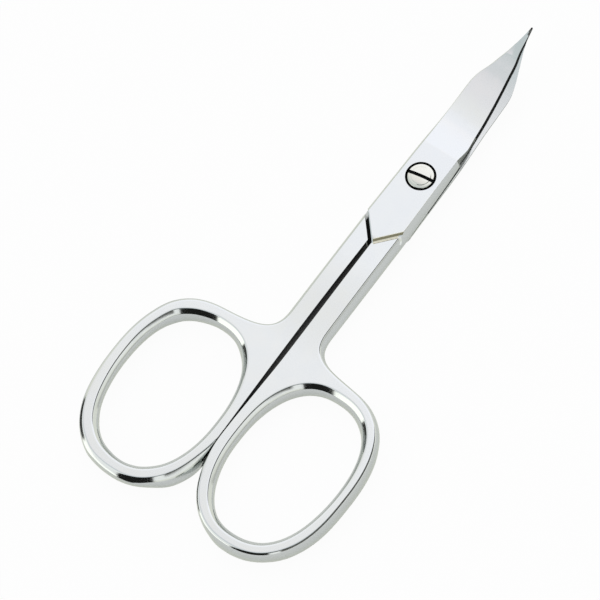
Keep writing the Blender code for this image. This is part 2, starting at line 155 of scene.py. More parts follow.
UPPER_HOLE = (
    (0, 0.08, 0.54, 0.0, 0.0), (30, 0.02, 0.60, 0.05, 0.0), (45, 0.04, 0.63, 0.20, 0.0),
    (60, 0.07, 0.63, 0.36, 0.0), (75, 0.08, 0.63, 0.28, 0.0), (90, 0.09, 0.63, 0.17, 0.0),
    (120, 0.17, 0.63, 0.20, 0.0), (150, 0.13, 0.63, 0.16, 0.0), (180, -0.07, 0.63, -0.06, 0.0),
    (210, -0.40, 0.63, 0.0, 0.0), (225, -0.49, 0.63, 0.0, 0.0), (240, -0.44, 0.63, 0.0, 0.0),
    (255, -0.27, 0.63, 0.0, 0.0), (270, -0.11, 0.63, 0.0, 0.0), (285, -0.11, 0.63, 0.0, 0.0),
    (300, -0.07, 0.60, 0.0, 0.0), (330, -0.07, 0.54, 0.0, 0.0), (345, -0.03, 0.54, 0.0, 0.0),
    (360, 0.08, 0.54, 0.0, 0.0),
)
LOWER_HOLE = (
    (0, 0.20, 0.60, -0.13, 0.0), (15, 0.29, 0.62, -0.05, 0.0), (30, 0.33, 0.63, 0.0, 0.0),
    (45, 0.44, 0.63, 0.28, 0.0), (52, 0.35, 0.63, 0.25, 0.0), (60, 0.17, 0.63, 0.21, 0.0),
    (75, -0.03, 0.63, 0.17, 0.0), (90, 0.04, 0.63, 0.13, 0.0), (105, 0.0, 0.63, 0.24, 0.0),
    (120, -0.08, 0.63, 0.38, 0.0), (135, -0.14, 0.63, 0.25, 0.0), (150, -0.20, 0.58, 0.0, 0.0),
    (180, -0.13, 0.50, 0.0, 0.0), (210, -0.25, 0.55, 0.0, 0.0), (225, -0.29, 0.57, 0.0, 0.0),
    (240, -0.33, 0.57, 0.0, 0.0), (255, -0.20, 0.57, 0.0, 0.0), (268, -0.11, 0.54, 0.0, 0.0),
    (280, -0.24, 0.62, 0.0, 0.0), (300, -0.27, 0.63, 0.0, 0.0), (315, -0.19, 0.63, 0.0, 0.0),
    (330, -0.13, 0.60, -0.14, 0.0), (345, -0.03, 0.60, -0.20, 0.0), (360, 0.20, 0.60, -0.13, 0.0),
)
# Finishes are laid by where a face points: the part of its normal upward or to a side
UPRIGHT_BELOW = 0.85
STEP_ABOVE = 0.8
RAMP_ABOVE = 0.95
STEP_BELOW = 0.9995
EDGE_FACES_RIGHT = 0.2
TAIL_FACES_BACK = -0.3
GAP_FACES_LEFT = -0.9
# The finishes' slots on a handle and on a plate, after the nickel's slot 0.
# All but LAP carry painted shade or a painted reflection
GAP_SIDE = 1
LAP, FACET, EDGE, RECESS, STEP, RAMP = range(1, 7)
# What polished nickel mirrors at a grazing angle, slightly green
NICKEL_GRAZING_TINT = (0.93, 0.95, 0.86, 1)
# One wave of a wave texture of scale 1
WAVE_LENGTH = math.tau / 20
# From the middle to where the recess's painted shade gives way to the nickel at its open ends
SHADE_FADE_START = 0.00308
SHADE_FADE_END = 0.00322
# Working allowances: turns in radians, lengths in metres
SHARP_TURN = math.radians(26)
SMALL_TURN = 0.001
MILLIMETRE = 0.001
MERGE_DISTANCE = 0.000001
JOIN_EMBED = 0.0001
JOIN_DEPTH = 0.0008
TAIL_TO_BOX = 1.2 * JOIN_DEPTH
HEEL_LEAD = 0.3 * JOIN_DEPTH
HEEL_RUN = 1.4 * JOIN_DEPTH
CUT_OVERRUN = 0.001
# The largest share of a short side that its corner's arc takes, and how far a mitre is drawn
ROUND_LIMIT = 0.35
LEAST_MITRE = 0.5
# The card on the table, and how much of its own white the camera and a mirror see
CARD_SIZE = 2.4
CARD_DROP = 0.00005
CARD_GLOW = 0.95
MIRRORED_CARD_GLOW = 0.55
# The camera, in the frame's axes, metres, and millimetres for the lens
CAMERA_RIGHT = (0.8060, 0.5862, -0.0810)
CAMERA_UP = (-0.5116, 0.7590, 0.4025)
CAMERA_TARGET = (-0.0030, -0.0255, 0.0038)
CAMERA_DISTANCE = 0.6477
CAMERA_LENS = 272.7
CAMERA_SENSOR = 36
CAMERA_CLIP = (0.05, 20)


def linear(hex_colour):
    """Turn an sRGB hex colour such as #C0C0C0 into linear red, green and blue."""
    parts = [int(hex_colour[start:start + 2], 16) / 255 for start in (1, 3, 5)]
    return tuple(p / 12.92 if p <= 0.04045 else ((p + 0.055) / 1.055) ** 2.4 for p in parts)


def length_field(name, description, default):
    """Declare a length in metres."""
    return FloatProperty(name=name, description=description, default=default, unit="LENGTH")


def colour_field(name, description, hex_colour):
    """Declare a colour, given in sRGB hex."""
    return FloatVectorProperty(
        name=name, description=description, default=linear(hex_colour),
        size=3, min=0, max=1, subtype="COLOR")


class ScissorSizes(bpy.types.PropertyGroup):
    """Sizes of the two halves and of the pivot screw."""

    tip_reach: length_field("Tip reach", "From the pivot to the tips", CAD_HIGH.y - 0.00015)
    tip_rise: length_field("Tip rise", "How far the blades curve up at the tips", 0.0027)
    rise_start: length_field(
        "Rise start", "Distance from the pivot at which the curve begins", 0.0030)
    lower_rise_start: length_field(
        "Lower rise start", "The same for the lower blade, clear when wide open", 0.0050)
    facet_start: length_field("Facet start", "Where the ground facet at the heel cuts in", 0.0049)
    facet_end: length_field(
        "Facet end", "Where the ground facet has run out into the edge", 0.0100)
    blade_bulge: length_field("Blade bulge", "Round of the blade's back", 0.00034)
    edge_lean: length_field(
        "Edge lean", "Lean of the narrow whetted face above the cutting edge", 0.00023)
    box_thickness: length_field("Box thickness", "Both lapped plates together", 0.0038)
    lap_gap: length_field("Lap gap", "Between the two lapped faces", 0.0001)
    # The rim along the lapped faces carries painted shade up to this height and back to this end
    seam_height: length_field("Seam height", "Blackened rim beside the lapped faces", 0.00013)
    seam_end: length_field(
        "Seam end", "From the pivot back to the end of the blackened rim", 0.0040)
    box_half_width: length_field("Box half width", "Half the width of the box's flat face", 0.0031)
    box_bulge: length_field(
        "Box bulge", "How far the box's sides swell past its flat face", 0.0007)
    v_apex_reach: length_field(
        "V apex reach", "From the pivot to the nose of the V-shaped tail", 0.01216)
    v_corner_reach: length_field(
        "V corner reach", "From the pivot to the corners of the V-shaped tail", 0.0087)
    v_nose_half_width: length_field(
        "V nose half width", "Half the blunt nose of the V-shaped tail", 0.0001)
    v_gap: length_field(
        "V gap", "Between the V-shaped tail and the other half's shoulder", 0.00055)
    v_open_bevel: length_field(
        "V open bevel", "Width of the V-shaped tail's bevel beside the gap", 0.00014)
    v_shank_bevel: length_field(
        "V shank bevel", "Width of the V-shaped tail's bevel above its shank", 0.00038)
    v_shank_ramp: length_field(
        "V shank ramp", "Width of the gentle ramp between that bevel and shank", 0.00031)
    shank_top_reach: length_field(
        "Shank top reach", "From the pivot to the buried end of the shank", 0.0075)
    shank_taper_start: length_field(
        "Shank taper start", "Where the shank begins to thin towards the bow", 0.0150)
    shank_thickness: length_field("Shank thickness", "Thickness of the shanks", 0.0034)
    shank_outer: length_field(
        "Shank outer side", "From the middle to the shank's outer edge", 0.00298)
    shank_bulge: length_field(
        "Shank bulge", "How far the shanks' sides swell past the flat face", 0.00072)
    upper_gap_side: length_field(
        "Upper gap side", "From the middle to the upper half's inner side", 0.00012)
    lower_gap_start: length_field(
        "Lower gap start", "From the middle to the lower half's inner side", 0.00050)
    lower_gap_middle: length_field("Lower gap middle", "The same half way to the bows", 0.00062)
    lower_gap_end: length_field("Lower gap end", "The same where the bows meet", 0.00035)
    bow_reach: length_field(
        "Bow reach", "From the pivot to the flat end of the finger bows", 0.0612)
    lean_start: length_field(
        "Lean start", "Where the upper bow begins to lean to the other", 0.0330)
    lean_run: length_field("Lean run", "Length over which that lean grows", 0.0040)
    bow_lean: FloatProperty(
        name="Bow lean", description="How steeply the upper bow leans, as a slope",
        default=0.032)
    bow_thickness: length_field("Bow thickness", "Thickness of the finger bows", 0.0028)
    bow_gap: length_field("Bow gap", "Between the two finger bows", 0.0003)
    bow_slimming: length_field(
        "Bow slimming", "How much the upper bow's outer side is ground away", 0.00030)
    bow_bevel_out: length_field(
        "Bow bevel width", "Width of the bevel between bow and shank", 0.00027)
    hole_steepness: FloatProperty(
        name="Hole steepness", description="Depth of the holes' bevels as a share of their width",
        default=0.93)
    rim_steepness: FloatProperty(
        name="Rim steepness", description="The same for the bevels outside the bows",
        default=0.70)
    least_bevel_depth: length_field(
        "Least bevel depth", "Depth of the softened edge where no bevel is", 0.00032)
    wall_bulge: length_field(
        "Wall bulge", "How far the bows' walls swell between their bevels", 0.00016)
    hole_half_width: length_field("Hole half width", "Half the width of a finger hole", 0.00895)
    hole_half_length: length_field(
        "Hole half length", "From a finger hole's centre to its near end", 0.01295)
    hole_end_length: length_field(
        "Hole end length", "From a finger hole's centre to its far end", 0.01315)
    bow_side_width: length_field("Bow side width", "Flat face of the bow at its sides", 0.00128)
    bow_end_width: length_field("Bow end width", "Flat face of the bow at its ends", 0.0014)
    fillet_length: length_field("Fillet length", "Length of the fillet from bow to shank", 0.0052)
    fillet_bow_handle: length_field(
        "Fillet bow handle", "Reach of the fillet's curve along the bow", 0.0047)
    fillet_shank_handle: length_field(
        "Fillet shank handle", "Reach of the fillet's curve along the shank", 0.0049)
    flat_rim: length_field(
        "Flat rim", "Flat strip that keeps the large faces' shading even", 0.00015)
    edge_round: length_field("Edge round", "Radius that polishing leaves on the edges", 0.00011)
    head_radius: length_field("Head radius", "Radius of the screw's head", 0.00195)
    head_edge_height: length_field("Head edge height", "Height of the head at its rim", 0.0007)
    head_crown: length_field("Head crown", "Height of the head's dome above its rim", 0.00036)
    recess_clearance: length_field(
        "Recess clearance", "Between the head and its round recess", 0.00033)
    slot_width: length_field("Slot width", "Width of the screw's slot", 0.00052)
    slot_depth: length_field("Slot depth", "Depth of the screw's slot", 0.00045)
    slot_turn: FloatProperty(
        name="Slot turn", description="Angle of the slot from the X axis",
        default=math.radians(9), unit="ROTATION")
    journal_radius: length_field(
        "Journal radius", "Plain part of the screw in the upper half", 0.00125)
    tail_radius: length_field("Tail radius", "End of the screw in the lower half", 0.0010)
    seat_clearance: length_field(
        "Seat clearance", "Play round the journal, the tail and the seats", 0.00005)


class ScissorColours(bpy.types.PropertyGroup):
    """Colours of the metals and of the studio; the dull steels' colours are painted light."""

    nickel: colour_field("Polished nickel", "Bright nickel plate on the forged halves", "#CDD0CC")
    nickel_cool: colour_field(
        "Cool nickel", "The same plate where it mirrors a shade cooler", "#CACFCF")
    ground_steel: colour_field("Ground steel", "Bare steel of the lapped faces", "#D2D6D4")
    screw_steel: colour_field("Screw steel", "Turned and plated steel of the screw", "#D5D7CD")
    # Painted dark reflection: the heel's facet is darkened for the dark it mirrors
    facet_steel: colour_field(
        "Facet steel", "Dull ground facet at the heel of the cutting edge", "#959A90")
    # Painted warm reflections: the tail's step in straw-olive, its ramp in a paler straw
    step_steel: colour_field("Step steel", "Straw-coloured step of the V-shaped tail", "#AEA88A")
    ramp_steel: colour_field("Ramp steel", "Paler straw of the ramp below that step", "#F2EED8")
    # Painted shade along the lap's seam and a painted dark reflection on the whetted edge
    edge_steel: colour_field("Edge steel", "Blackened rim along the edge and the lap", "#1D1F1D")
    # Painted shade in slot, recess and between the halves
    recess_steel: colour_field(
        "Recess steel", "Dull steel in the slot and round the head", "#171816")
    paper: colour_field("White paper", "Sheet that the scissors lie on", "#F2F2F1")


def eased(value, start, end):
    """Return 0 at start and 1 at end, with a smooth step between them."""
    share = min(max((value - start) / (end - start), 0.0), 1.0)
    return share * share * (3 - 2 * share)


def value_along(table, share):
    """Read a table of shares at one share, on a smooth curve through its rows."""
    rows = [table[0]] + list(table) + [table[-1]]
    for index in range(1, len(rows) - 2):
        before, start, end, after = rows[index - 1:index + 3]
        if share <= end[0] or index == len(rows) - 3:
            break
    span = end[0] - start[0]
    t = min(max((share - start[0]) / span, 0.0), 1.0)
    slope_in = (end[1] - before[1]) / (end[0] - before[0]) * span
    slope_out = (after[1] - start[1]) / (after[0] - start[0]) * span
    low, high = sorted((start[1], end[1]))
    curve = (
        (2 * t ** 3 - 3 * t ** 2 + 1) * start[1]
        + (t ** 3 - 2 * t ** 2 + t) * slope_in
        + (3 * t ** 2 - 2 * t ** 3) * end[1]
        + (t ** 3 - t ** 2) * slope_out
    )
    return min(max(curve, low), high)


class Half:
    """The places on one half that follow from the sizes."""

    def __init__(self, sizes, upper):
        self.sizes = sizes
        self.upper = upper
        self.back_shares = UPPER_BACK_SHARES if upper else LOWER_BACK_SHARES
        self.rim_table = UPPER_RIM if upper else LOWER_RIM
        self.hole_table = UPPER_HOLE if upper else LOWER_HOLE
        self.middle = sizes.box_thickness / 2
        self.upper_lap = self.middle + sizes.lap_gap / 2
        self.plate_thickness = (sizes.box_thickness - sizes.lap_gap) / 2
        slimming = sizes.bow_slimming if upper else 0
        self.bow_inner_width = sizes.hole_half_width + sizes.bow_side_width
        self.bow_outer_width = self.bow_inner_width - slimming
        self.bow_half_length = sizes.hole_half_length + sizes.bow_end_width
        self.bow_end_length = self.bow_half_length - END_SLIMMING_SHARE * slimming
        self.bow_centre_x = self.bow_inner_width + sizes.bow_gap / 2
        self.bow_centre_reach = sizes.bow_reach - self.bow_half_length
        self.bow_top_reach = self.bow_centre_reach - self.bow_half_length
        self.fillet_shank_reach = self.bow_top_reach - sizes.fillet_length
        self.v_rise = (sizes.v_apex_reach - sizes.v_corner_reach) / sizes.box_half_width
        self.v_stretch = math.sqrt(1 + self.v_rise ** 2)
        self.recess_floor = sizes.box_thickness - sizes.head_edge_height - sizes.head_crown / 2

    def lean_at(self, reach):
        """Return how far the upper bow has leaned over the middle."""
        past = max(reach - self.sizes.lean_start, 0.0)
        run = self.sizes.lean_run
        grown = past * past / (2 * run) if past < run else past - run / 2
        return -self.sizes.bow_lean * grown if self.upper else 0.0

    def gap_side(self, reach):
        """Return the x of the shank's face toward the other half."""
        sizes = self.sizes
        if self.upper:
            return sizes.upper_gap_side + self.lean_at(reach)
        way = (reach - sizes.v_apex_reach) / (self.bow_centre_reach - sizes.v_apex_reach)
        return value_along((
            (0.0, sizes.lower_gap_start), (0.5, sizes.lower_gap_middle), (1.0, sizes.lower_gap_end),
        ), min(max(way, 0.0), 1.0))

    def handle_swell(self, reach):
        """Return how much thicker the handle is than a bow, as a factor."""
        share = eased(reach, self.sizes.shank_taper_start, self.bow_top_reach)
        thickest = self.sizes.shank_thickness / self.sizes.bow_thickness
        return thickest + (1 - thickest) * share

    def bow_point(self, inner_width, outer_width, half_length, end_length, turn):
        """Return a point of a squarish oval round the bow's centre."""
        power = 2 / BOW_SQUARENESS
        across = math.copysign(abs(math.cos(turn)) ** power, math.cos(turn))
        along = math.copysign(abs(math.sin(turn)) ** power, math.sin(turn))
        reach = self.bow_centre_reach - (half_length if along > 0 else end_length) * along
        width = outer_width if across > 0 else inner_width
        return Vector((self.bow_centre_x + width * across + self.lean_at(reach), -reach))

    def rim_steepness_at(self, turn):
        """Return how steep the outer bevel is; the lower bow's is steeper where the bows meet."""
        sizes = self.sizes
        steeper = 0.0 if self.upper else 1 - eased(turn, *STEEP_RIM_ENDS)
        return sizes.rim_steepness + (sizes.hole_steepness - sizes.rim_steepness) * steeper

    def ring_point(self, widths, lengths, table, turn, steepness):
        """Return one point of a bow's outline and its wall's section, read from a table."""
        place = math.degrees(turn)
        shift, bevel, flare, roundness = (
            value_along([(row[0], row[column]) for row in table], place)
            for column in range(1, len(table[0])))
        along = self.bow_point(*widths, *lengths, turn + SMALL_TURN)
        along -= self.bow_point(*widths, *lengths, turn - SMALL_TURN)
        outward = Vector((along.y, -along.x)).normalized()
        point = self.bow_point(*widths, *lengths, turn) + outward * shift * MILLIMETRE
        section = self.section(bevel * MILLIMETRE, flare * MILLIMETRE, roundness, steepness)
        return point, section

    def section(self, bevel_out, flare, swell, steepness):
        """Return a wall's section as pairs: how far out, and the height above the middle.

        A bow's wall is a bevel, a slightly swelled face that may flare out, and a smaller
        bevel below. A shank's wall, with a swell of 1, is one round face. The lower half
        is modelled turned over, so there the larger bevel comes at the bottom.
        """
        sizes = self.sizes
        thickness = sizes.bow_thickness
        radius = sizes.edge_round
        bevel_depth = bevel_out * steepness if bevel_out > sizes.flat_rim else 0.0
        bevel_depth = max(bevel_depth, LEAST_BEVEL_SHARE * sizes.least_bevel_depth)
        bulge = sizes.wall_bulge if bevel_out > 0 else 0.0
        lower_bevel = thickness - sizes.least_bevel_depth / 2

        def out_at(depth):
            if depth < bevel_depth:
                straight = bevel_out * depth / bevel_depth
            elif depth < lower_bevel:
                way = (depth - bevel_depth) / (lower_bevel - bevel_depth)
                straight = bevel_out + flare * way + bulge * 4 * way * (1 - way)
            else:
                way = (depth - lower_bevel) / sizes.least_bevel_depth
                straight = bevel_out + flare - sizes.bow_bevel_out * way * bool(bulge)
            share = depth / thickness
            rounded = sizes.shank_bulge * 4 * share * (1 - share)
            return straight + (rounded - straight) * swell

        depths = [bevel_depth * share for share in BEVEL_SHARES]
        for share in SWELL_SHARES:
            depths.append(bevel_depth + (lower_bevel - bevel_depth) * share)
        softening = SOFTENING_SHARE * sizes.least_bevel_depth
        depths += [lower_bevel - softening, lower_bevel + softening]
        points = [(out_at(depth), depth) for depth in depths]
        corner_out = out_at(thickness)
        top = turn_corner((-radius, 0.0), (0.0, 0.0), (out_at(radius), radius))
        bottom = turn_corner(
            (out_at(thickness - radius), thickness - radius),
            (corner_out, thickness), (corner_out - radius, thickness))
        rim = [(-radius - sizes.flat_rim, 0.0)]
        last = [(corner_out - radius - sizes.flat_rim, thickness)]
        side = 1 if self.upper else -1
        wall = rim + top + points + bottom + last
        return [(out, side * (thickness / 2 - depth)) for out, depth in wall]

    def handle_outline(self):
        """Return the flat face's outer edge, anticlockwise, and the wall's section there."""
        sizes = self.sizes
        points = []
        sections = []
        for step in range(GAP_SIDE_STEPS):
            share = step / GAP_SIDE_STEPS
            reach = sizes.shank_top_reach + (self.bow_centre_reach - sizes.shank_top_reach) * share
            points.append(Vector((self.gap_side(reach), -reach)))
            sections.append(self.section(0.0, 0.0, 0.0, 1.0))
        for step in range(RING_STEPS + 1):
            turn = math.pi + (math.pi + FILLET_START_TURN) * step / RING_STEPS
            point, section = self.ring_point(
                (self.bow_inner_width, self.bow_outer_width),
                (self.bow_half_length, self.bow_end_length), self.rim_table, turn,
                self.rim_steepness_at(turn))
            point.x = max(point.x, self.gap_side(-point.y))
            points.append(point)
            sections.append(section)
        start = points[-1]
        tangent = (start - points[-2]).normalized()
        end = Vector((sizes.shank_outer, -self.fillet_shank_reach))
        first = start + tangent * sizes.fillet_bow_handle
        second = end - Vector((0, sizes.fillet_shank_handle))
        last_roundness = self.rim_table[-1][-1]
        for step in range(1, FILLET_STEPS + 1):
            t = step / FILLET_STEPS
            u = 1 - t
            points.append(
                start * u ** 3 + first * (3 * u * u * t) + second * (3 * u * t * t) + end * t ** 3
            )
            swell = last_roundness + (1 - last_roundness) * eased(t, FILLET_ROUND_START, 1.0)
            sections.append(self.section(sizes.bow_bevel_out, 0.0, swell, sizes.rim_steepness))
        for step in range(1, SHANK_STEPS + 1):
            share = step / SHANK_STEPS
            reach = self.fillet_shank_reach
            reach += (sizes.shank_top_reach - self.fillet_shank_reach) * share
            points.append(Vector((sizes.shank_outer, -reach)))
            sections.append(self.section(sizes.bow_bevel_out, 0.0, 1.0, sizes.rim_steepness))
        return points, sections

    def hole_outline(self):
        """Return the flat face's inner edge, clockwise, and the wall's section there."""
        sizes = self.sizes
        points = []
        sections = []
        for step in range(HOLE_STEPS):
            turn = 2 * math.pi * (1 - step / HOLE_STEPS)
            point, section = self.ring_point(
                (sizes.hole_half_width, sizes.hole_half_width),
                (sizes.hole_half_length, sizes.hole_end_length), self.hole_table, turn,
                sizes.hole_steepness)
            points.append(point)
            sections.append(section)
        return points, sections

    def rib(self, left_wall, right_wall):
        """Close one rib of plate or blade: both walls, with their top edges rounded."""
        radius = self.sizes.edge_round
        left = round_last(left_wall, right_wall[-1], radius)
        right = round_last(right_wall, left_wall[-1], radius)
        ring = left + right[::-1]
        return ring + ring[:1]

    def levels(self, thickness):
        """Return the heights of a rib's points, as shares of its thickness."""
        seam = min(self.sizes.seam_height / thickness, HIGHEST_SEAM_LEVEL)
        return (0.0, seam, *WALL_LEVELS, *STEP_LEVELS, 1.0)

    def v_ribs(self):
        """Return the ribs of the V-shaped tail, from its nose to its corners.

        Beside the gap the tail has a plain wall. Over its own shank it steps down by a
        bevel and a gentle ramp, and goes on below the shank's face so that they join.
        """
        sizes = self.sizes
        levels = self.levels(self.plate_thickness)
        bevel = sizes.v_shank_bevel - sizes.v_open_bevel
        ramp = bevel + sizes.v_shank_ramp
        shank_sides = [ramp + JOIN_DEPTH] * 4
        shank_sides += [ramp + JOIN_DEPTH / 2, ramp + JOIN_EMBED / 2, ramp]
        open_sides = [0.0] * len(levels[:-1]) + [-sizes.v_open_bevel]
        bevel_levels = levels[len(shank_sides):]
        for level in bevel_levels:
            way = (level - bevel_levels[0]) / (1 - bevel_levels[0])
            shank_sides.append(bevel - sizes.v_shank_bevel * way)
        ribs = []
        for step in range(V_STEPS + 1):
            walls = ([], [])
            for level, open_side, shank_side in zip(levels, open_sides, shank_sides):
                height = self.upper_lap + self.plate_thickness * level
                bulge = sizes.box_bulge * (1 - level * level)
                shift = (shank_side - open_side) * self.v_stretch / (2 * self.v_rise)
                nose_y = -sizes.v_apex_reach - open_side * self.v_stretch - self.v_rise * shift
                for side, offset, wall in ((-1, open_side, walls[0]), (1, shank_side, walls[1])):
                    nose = Vector((
                        shift + side * sizes.v_nose_half_width,
                        nose_y + self.v_rise * sizes.v_nose_half_width,
                        height,
                    ))
                    across = sizes.box_half_width + bulge
                    along = self.v_rise * across - sizes.v_apex_reach - offset * self.v_stretch
                    wall.append(nose.lerp(Vector((side * across, along, height)), step / V_STEPS))
            ribs.append(self.rib(*walls))
        return ribs

    def side_rib(self, reach):
        """Return one rib across box or blade at a distance from the pivot along Y."""
        sizes = self.sizes
        half_width = sizes.box_half_width
        share = max(reach, 0.0) / sizes.tip_reach
        tail_share = max(-reach, 0.0) / sizes.v_corner_reach
        back = value_along(self.back_shares, share)
        back += (1 - back) * tail_share
        edge = value_along(EDGE_SHARES, share)
        edge += (1 + sizes.box_bulge / half_width - edge) * tail_share
        flat = FLAT_SHARE + (1 - FLAT_SHARE) * tail_share
        uncut = edge if reach < sizes.facet_start else FACET_SHARE
        back_thickness = self.plate_thickness * value_along(BACK_THICKNESS_SHARES, share)
        edge_thickness = self.plate_thickness * value_along(EDGE_THICKNESS_SHARES, share)
        slimmed = eased(reach, sizes.rise_start, BULGE_END_SHARE * sizes.tip_reach)
        back_bulge = sizes.box_bulge + (sizes.blade_bulge - sizes.box_bulge) * slimmed
        back_bulge *= 1 - eased(share, BULGE_FADE_SHARE, 1.0)
        lean = sizes.edge_lean * eased(reach, sizes.facet_end - sizes.rise_start, sizes.facet_end)
        lean *= 1 - LEAN_LOSS * eased(share, LEAN_FADE_SHARE, 1.0)
        left = []
        right = []
        for level in self.levels(back_thickness):
            left_x = -half_width * back - back_bulge * (1 - level * level)
            left.append(Vector((left_x, reach, self.upper_lap + back_thickness * level)))
        for level in self.levels(edge_thickness):
            bulged = half_width * (flat + max(uncut - flat, 0.0) * (1 - level * level))
            right_x = min(bulged, half_width * edge) - lean * level
            right.append(Vector((right_x, reach, self.upper_lap + edge_thickness * level)))
        return self.rib(left, right)

    def plate_ribs(self):
        """Return all the ribs, from the nose of the V-shaped tail to the tip."""
        sizes = self.sizes
        ribs = self.v_ribs()
        box_start = TAIL_TO_BOX - sizes.v_corner_reach
        heel_start = sizes.facet_start - HEEL_LEAD
        heel_end = sizes.facet_start + HEEL_RUN
        for start, end, steps in (
            (box_start, heel_start, BOX_STEPS), (heel_start, heel_end, HEEL_STEPS),
            (heel_end, sizes.tip_reach, BLADE_STEPS),
        ):
            for step in range(steps):
                ribs.append(self.side_rib(start + (end - start) * step / steps))
        ribs.append(self.side_rib(sizes.tip_reach))
        return ribs

    def rise_at(self, distance):
        """Return how far the blade has curved up at a distance from the pivot."""
        start = self.sizes.rise_start if self.upper else self.sizes.lower_rise_start
        run = max(distance - start, 0.0) / (self.sizes.tip_reach - start)
        return self.sizes.tip_rise * run * run


def turn_corner(start, corner, end):
    """Return a small arc in a section, from start to end, round a corner."""
    arc = []
    for step in range(EDGE_STEPS + 1):
        t = step / EDGE_STEPS
        weights = ((1 - t) ** 2, 2 * t * (1 - t), t * t)
        arc.append(tuple(
            sum(weight * point[axis] for weight, point in zip(weights, (start, corner, end)))
            for axis in (0, 1)))
    return arc


def round_last(wall, across, radius):
    """Replace the last point of a wall by a small arc that turns toward the other wall."""
    corner = wall[-1]
    down = wall[-2] - corner
    over = across - corner
    reach = min(radius, ROUND_LIMIT * down.length, ROUND_LIMIT * over.length)
    start = corner + down.normalized() * reach
    end = corner + over.normalized() * reach
    arc = []
    for step in range(EDGE_STEPS + 1):
        t = step / EDGE_STEPS
        arc.append(start * (1 - t) ** 2 + corner * (2 * t * (1 - t)) + end * t * t)
    return wall[:-1] + arc


def clear_selection():
    """Leave edit mode and deselect everything, so that an operator meets one object."""
    if bpy.context.object and bpy.context.object.mode != "OBJECT":
        bpy.ops.object.mode_set(mode="OBJECT")
    bpy.ops.object.select_all(action="DESELECT")


def hold(*items):
    """Select these objects alone; the last one becomes the active one."""
    clear_selection()
    for item in items:
        item.select_set(True)
    bpy.context.view_layer.objects.active = items[-1]


def wrap_sheet(name, rows):
    """Add a grid, lay it over rows of points and weld its seam."""
    clear_selection()
    columns = len(rows[0]) - 1
    lines = len(rows) - 1
    bpy.ops.mesh.primitive_grid_add(x_subdivisions=columns, y_subdivisions=lines, size=1)
    sheet = bpy.context.object
    sheet.name = name
    for vertex in sheet.data.vertices:
        column = round((vertex.co.x + 0.5) * columns)
        line = round((vertex.co.y + 0.5) * lines)
        vertex.co = rows[line][column]
    bpy.ops.object.mode_set(mode="EDIT")
    bpy.ops.mesh.select_all(action="SELECT")
    bpy.ops.mesh.remove_doubles(threshold=MERGE_DISTANCE)
    bpy.ops.object.mode_set(mode="OBJECT")
    return sheet


def fill_openings(item, wanted):
    """Close the open edges whose middles pass a test with flat faces."""
    hold(item)
    bpy.ops.object.mode_set(mode="EDIT")
    bpy.ops.mesh.select_mode(type="EDGE")
    bpy.ops.mesh.select_all(action="DESELECT")
    mesh = bmesh.from_edit_mesh(item.data)
    for edge in mesh.edges:
        edge.select_set(edge.is_boundary and wanted((edge.verts[0].co + edge.verts[1].co) / 2))
    bmesh.update_edit_mesh(item.data)
    bpy.ops.mesh.fill(use_beauty=True)
    bpy.ops.object.mode_set(mode="OBJECT")


def close_ends(item, axis, middle):
    """Close a sheet's two open ends, either side of a middle, and turn its faces outward."""
    fill_openings(item, lambda spot: spot[axis] > middle)
    fill_openings(item, lambda spot: spot[axis] < middle)
    hold(item)
    bpy.ops.object.mode_set(mode="EDIT")
    bpy.ops.mesh.select_all(action="SELECT")
    bpy.ops.mesh.normals_make_consistent(inside=False)
    bpy.ops.object.mode_set(mode="OBJECT")


def paint(item, *makers):
    """Give the item these finishes, in the order of their slots."""
    item.data.materials.clear()
    for maker in makers:
        item.data.materials.append(finish(maker))


def combine(item, tool, operation):
    """Apply one exact Boolean and take the tool away. Cut faces keep the tool's finish."""
    hold(item)
    bpy.ops.object.modifier_add(type="BOOLEAN")
    modifier = item.modifiers[-1]
    modifier.operation = operation
    modifier.solver = "EXACT"
    modifier.material_mode = "TRANSFER"
    modifier.object = tool
    bpy.ops.object.modifier_apply(modifier=modifier.name)
    bpy.data.objects.remove(tool, do_unlink=True)


def finish_piece(item):
    """Shade the piece smooth but for its real edges, with flat faces kept flat."""
    hold(item)
    bpy.ops.object.shade_smooth_by_angle(angle=SHARP_TURN)
    bpy.ops.object.modifier_add(type="WEIGHTED_NORMAL")
    modifier = item.modifiers[-1]
    modifier.keep_sharp = True
    modifier.weight = 100
    bpy.ops.object.modifier_apply(modifier=modifier.name)


def add_node(tree, kind, settings=None, links=None):
    """Add a node, set its fields and sockets by name or place, and link sockets into it."""
    node = tree.nodes.new(kind)
    for key, value in (settings or {}).items():
        if isinstance(key, int) or key in node.inputs:
            node.inputs[key].default_value = value
        else:
            setattr(node, key, value)
    for key, socket in (links or {}).items():
        tree.links.new(socket, node.inputs[key])
    return node


def new_material(name):
    """Return a fresh material, its nodes, its shader and the socket of the piece's own place."""
    material = bpy.data.materials.new(name)
    material.use_nodes = True
    tree = material.node_tree
    place = add_node(tree, "ShaderNodeTexCoord").outputs["Object"]
    return material, tree, tree.nodes["Principled BSDF"], place


def set_metal(shader, metallic, tint, rough, relief):
    """Make the shader a metal, and link its tint, roughness and relief."""
    shader.inputs["Metallic"].default_value = metallic
    for name, socket in (("Base Color", tint), ("Roughness", rough), ("Normal", relief)):
        shader.id_data.links.new(socket, shader.inputs[name])


def dimmed(colour, share=1.0):
    """Return a colour at a share of its brightness, with its alpha."""
    return (*[share * part for part in colour], 1)


def per_metre(millimetres):
    """Turn a pattern's real size in millimetres into a texture scale."""
    return 1000 / millimetres


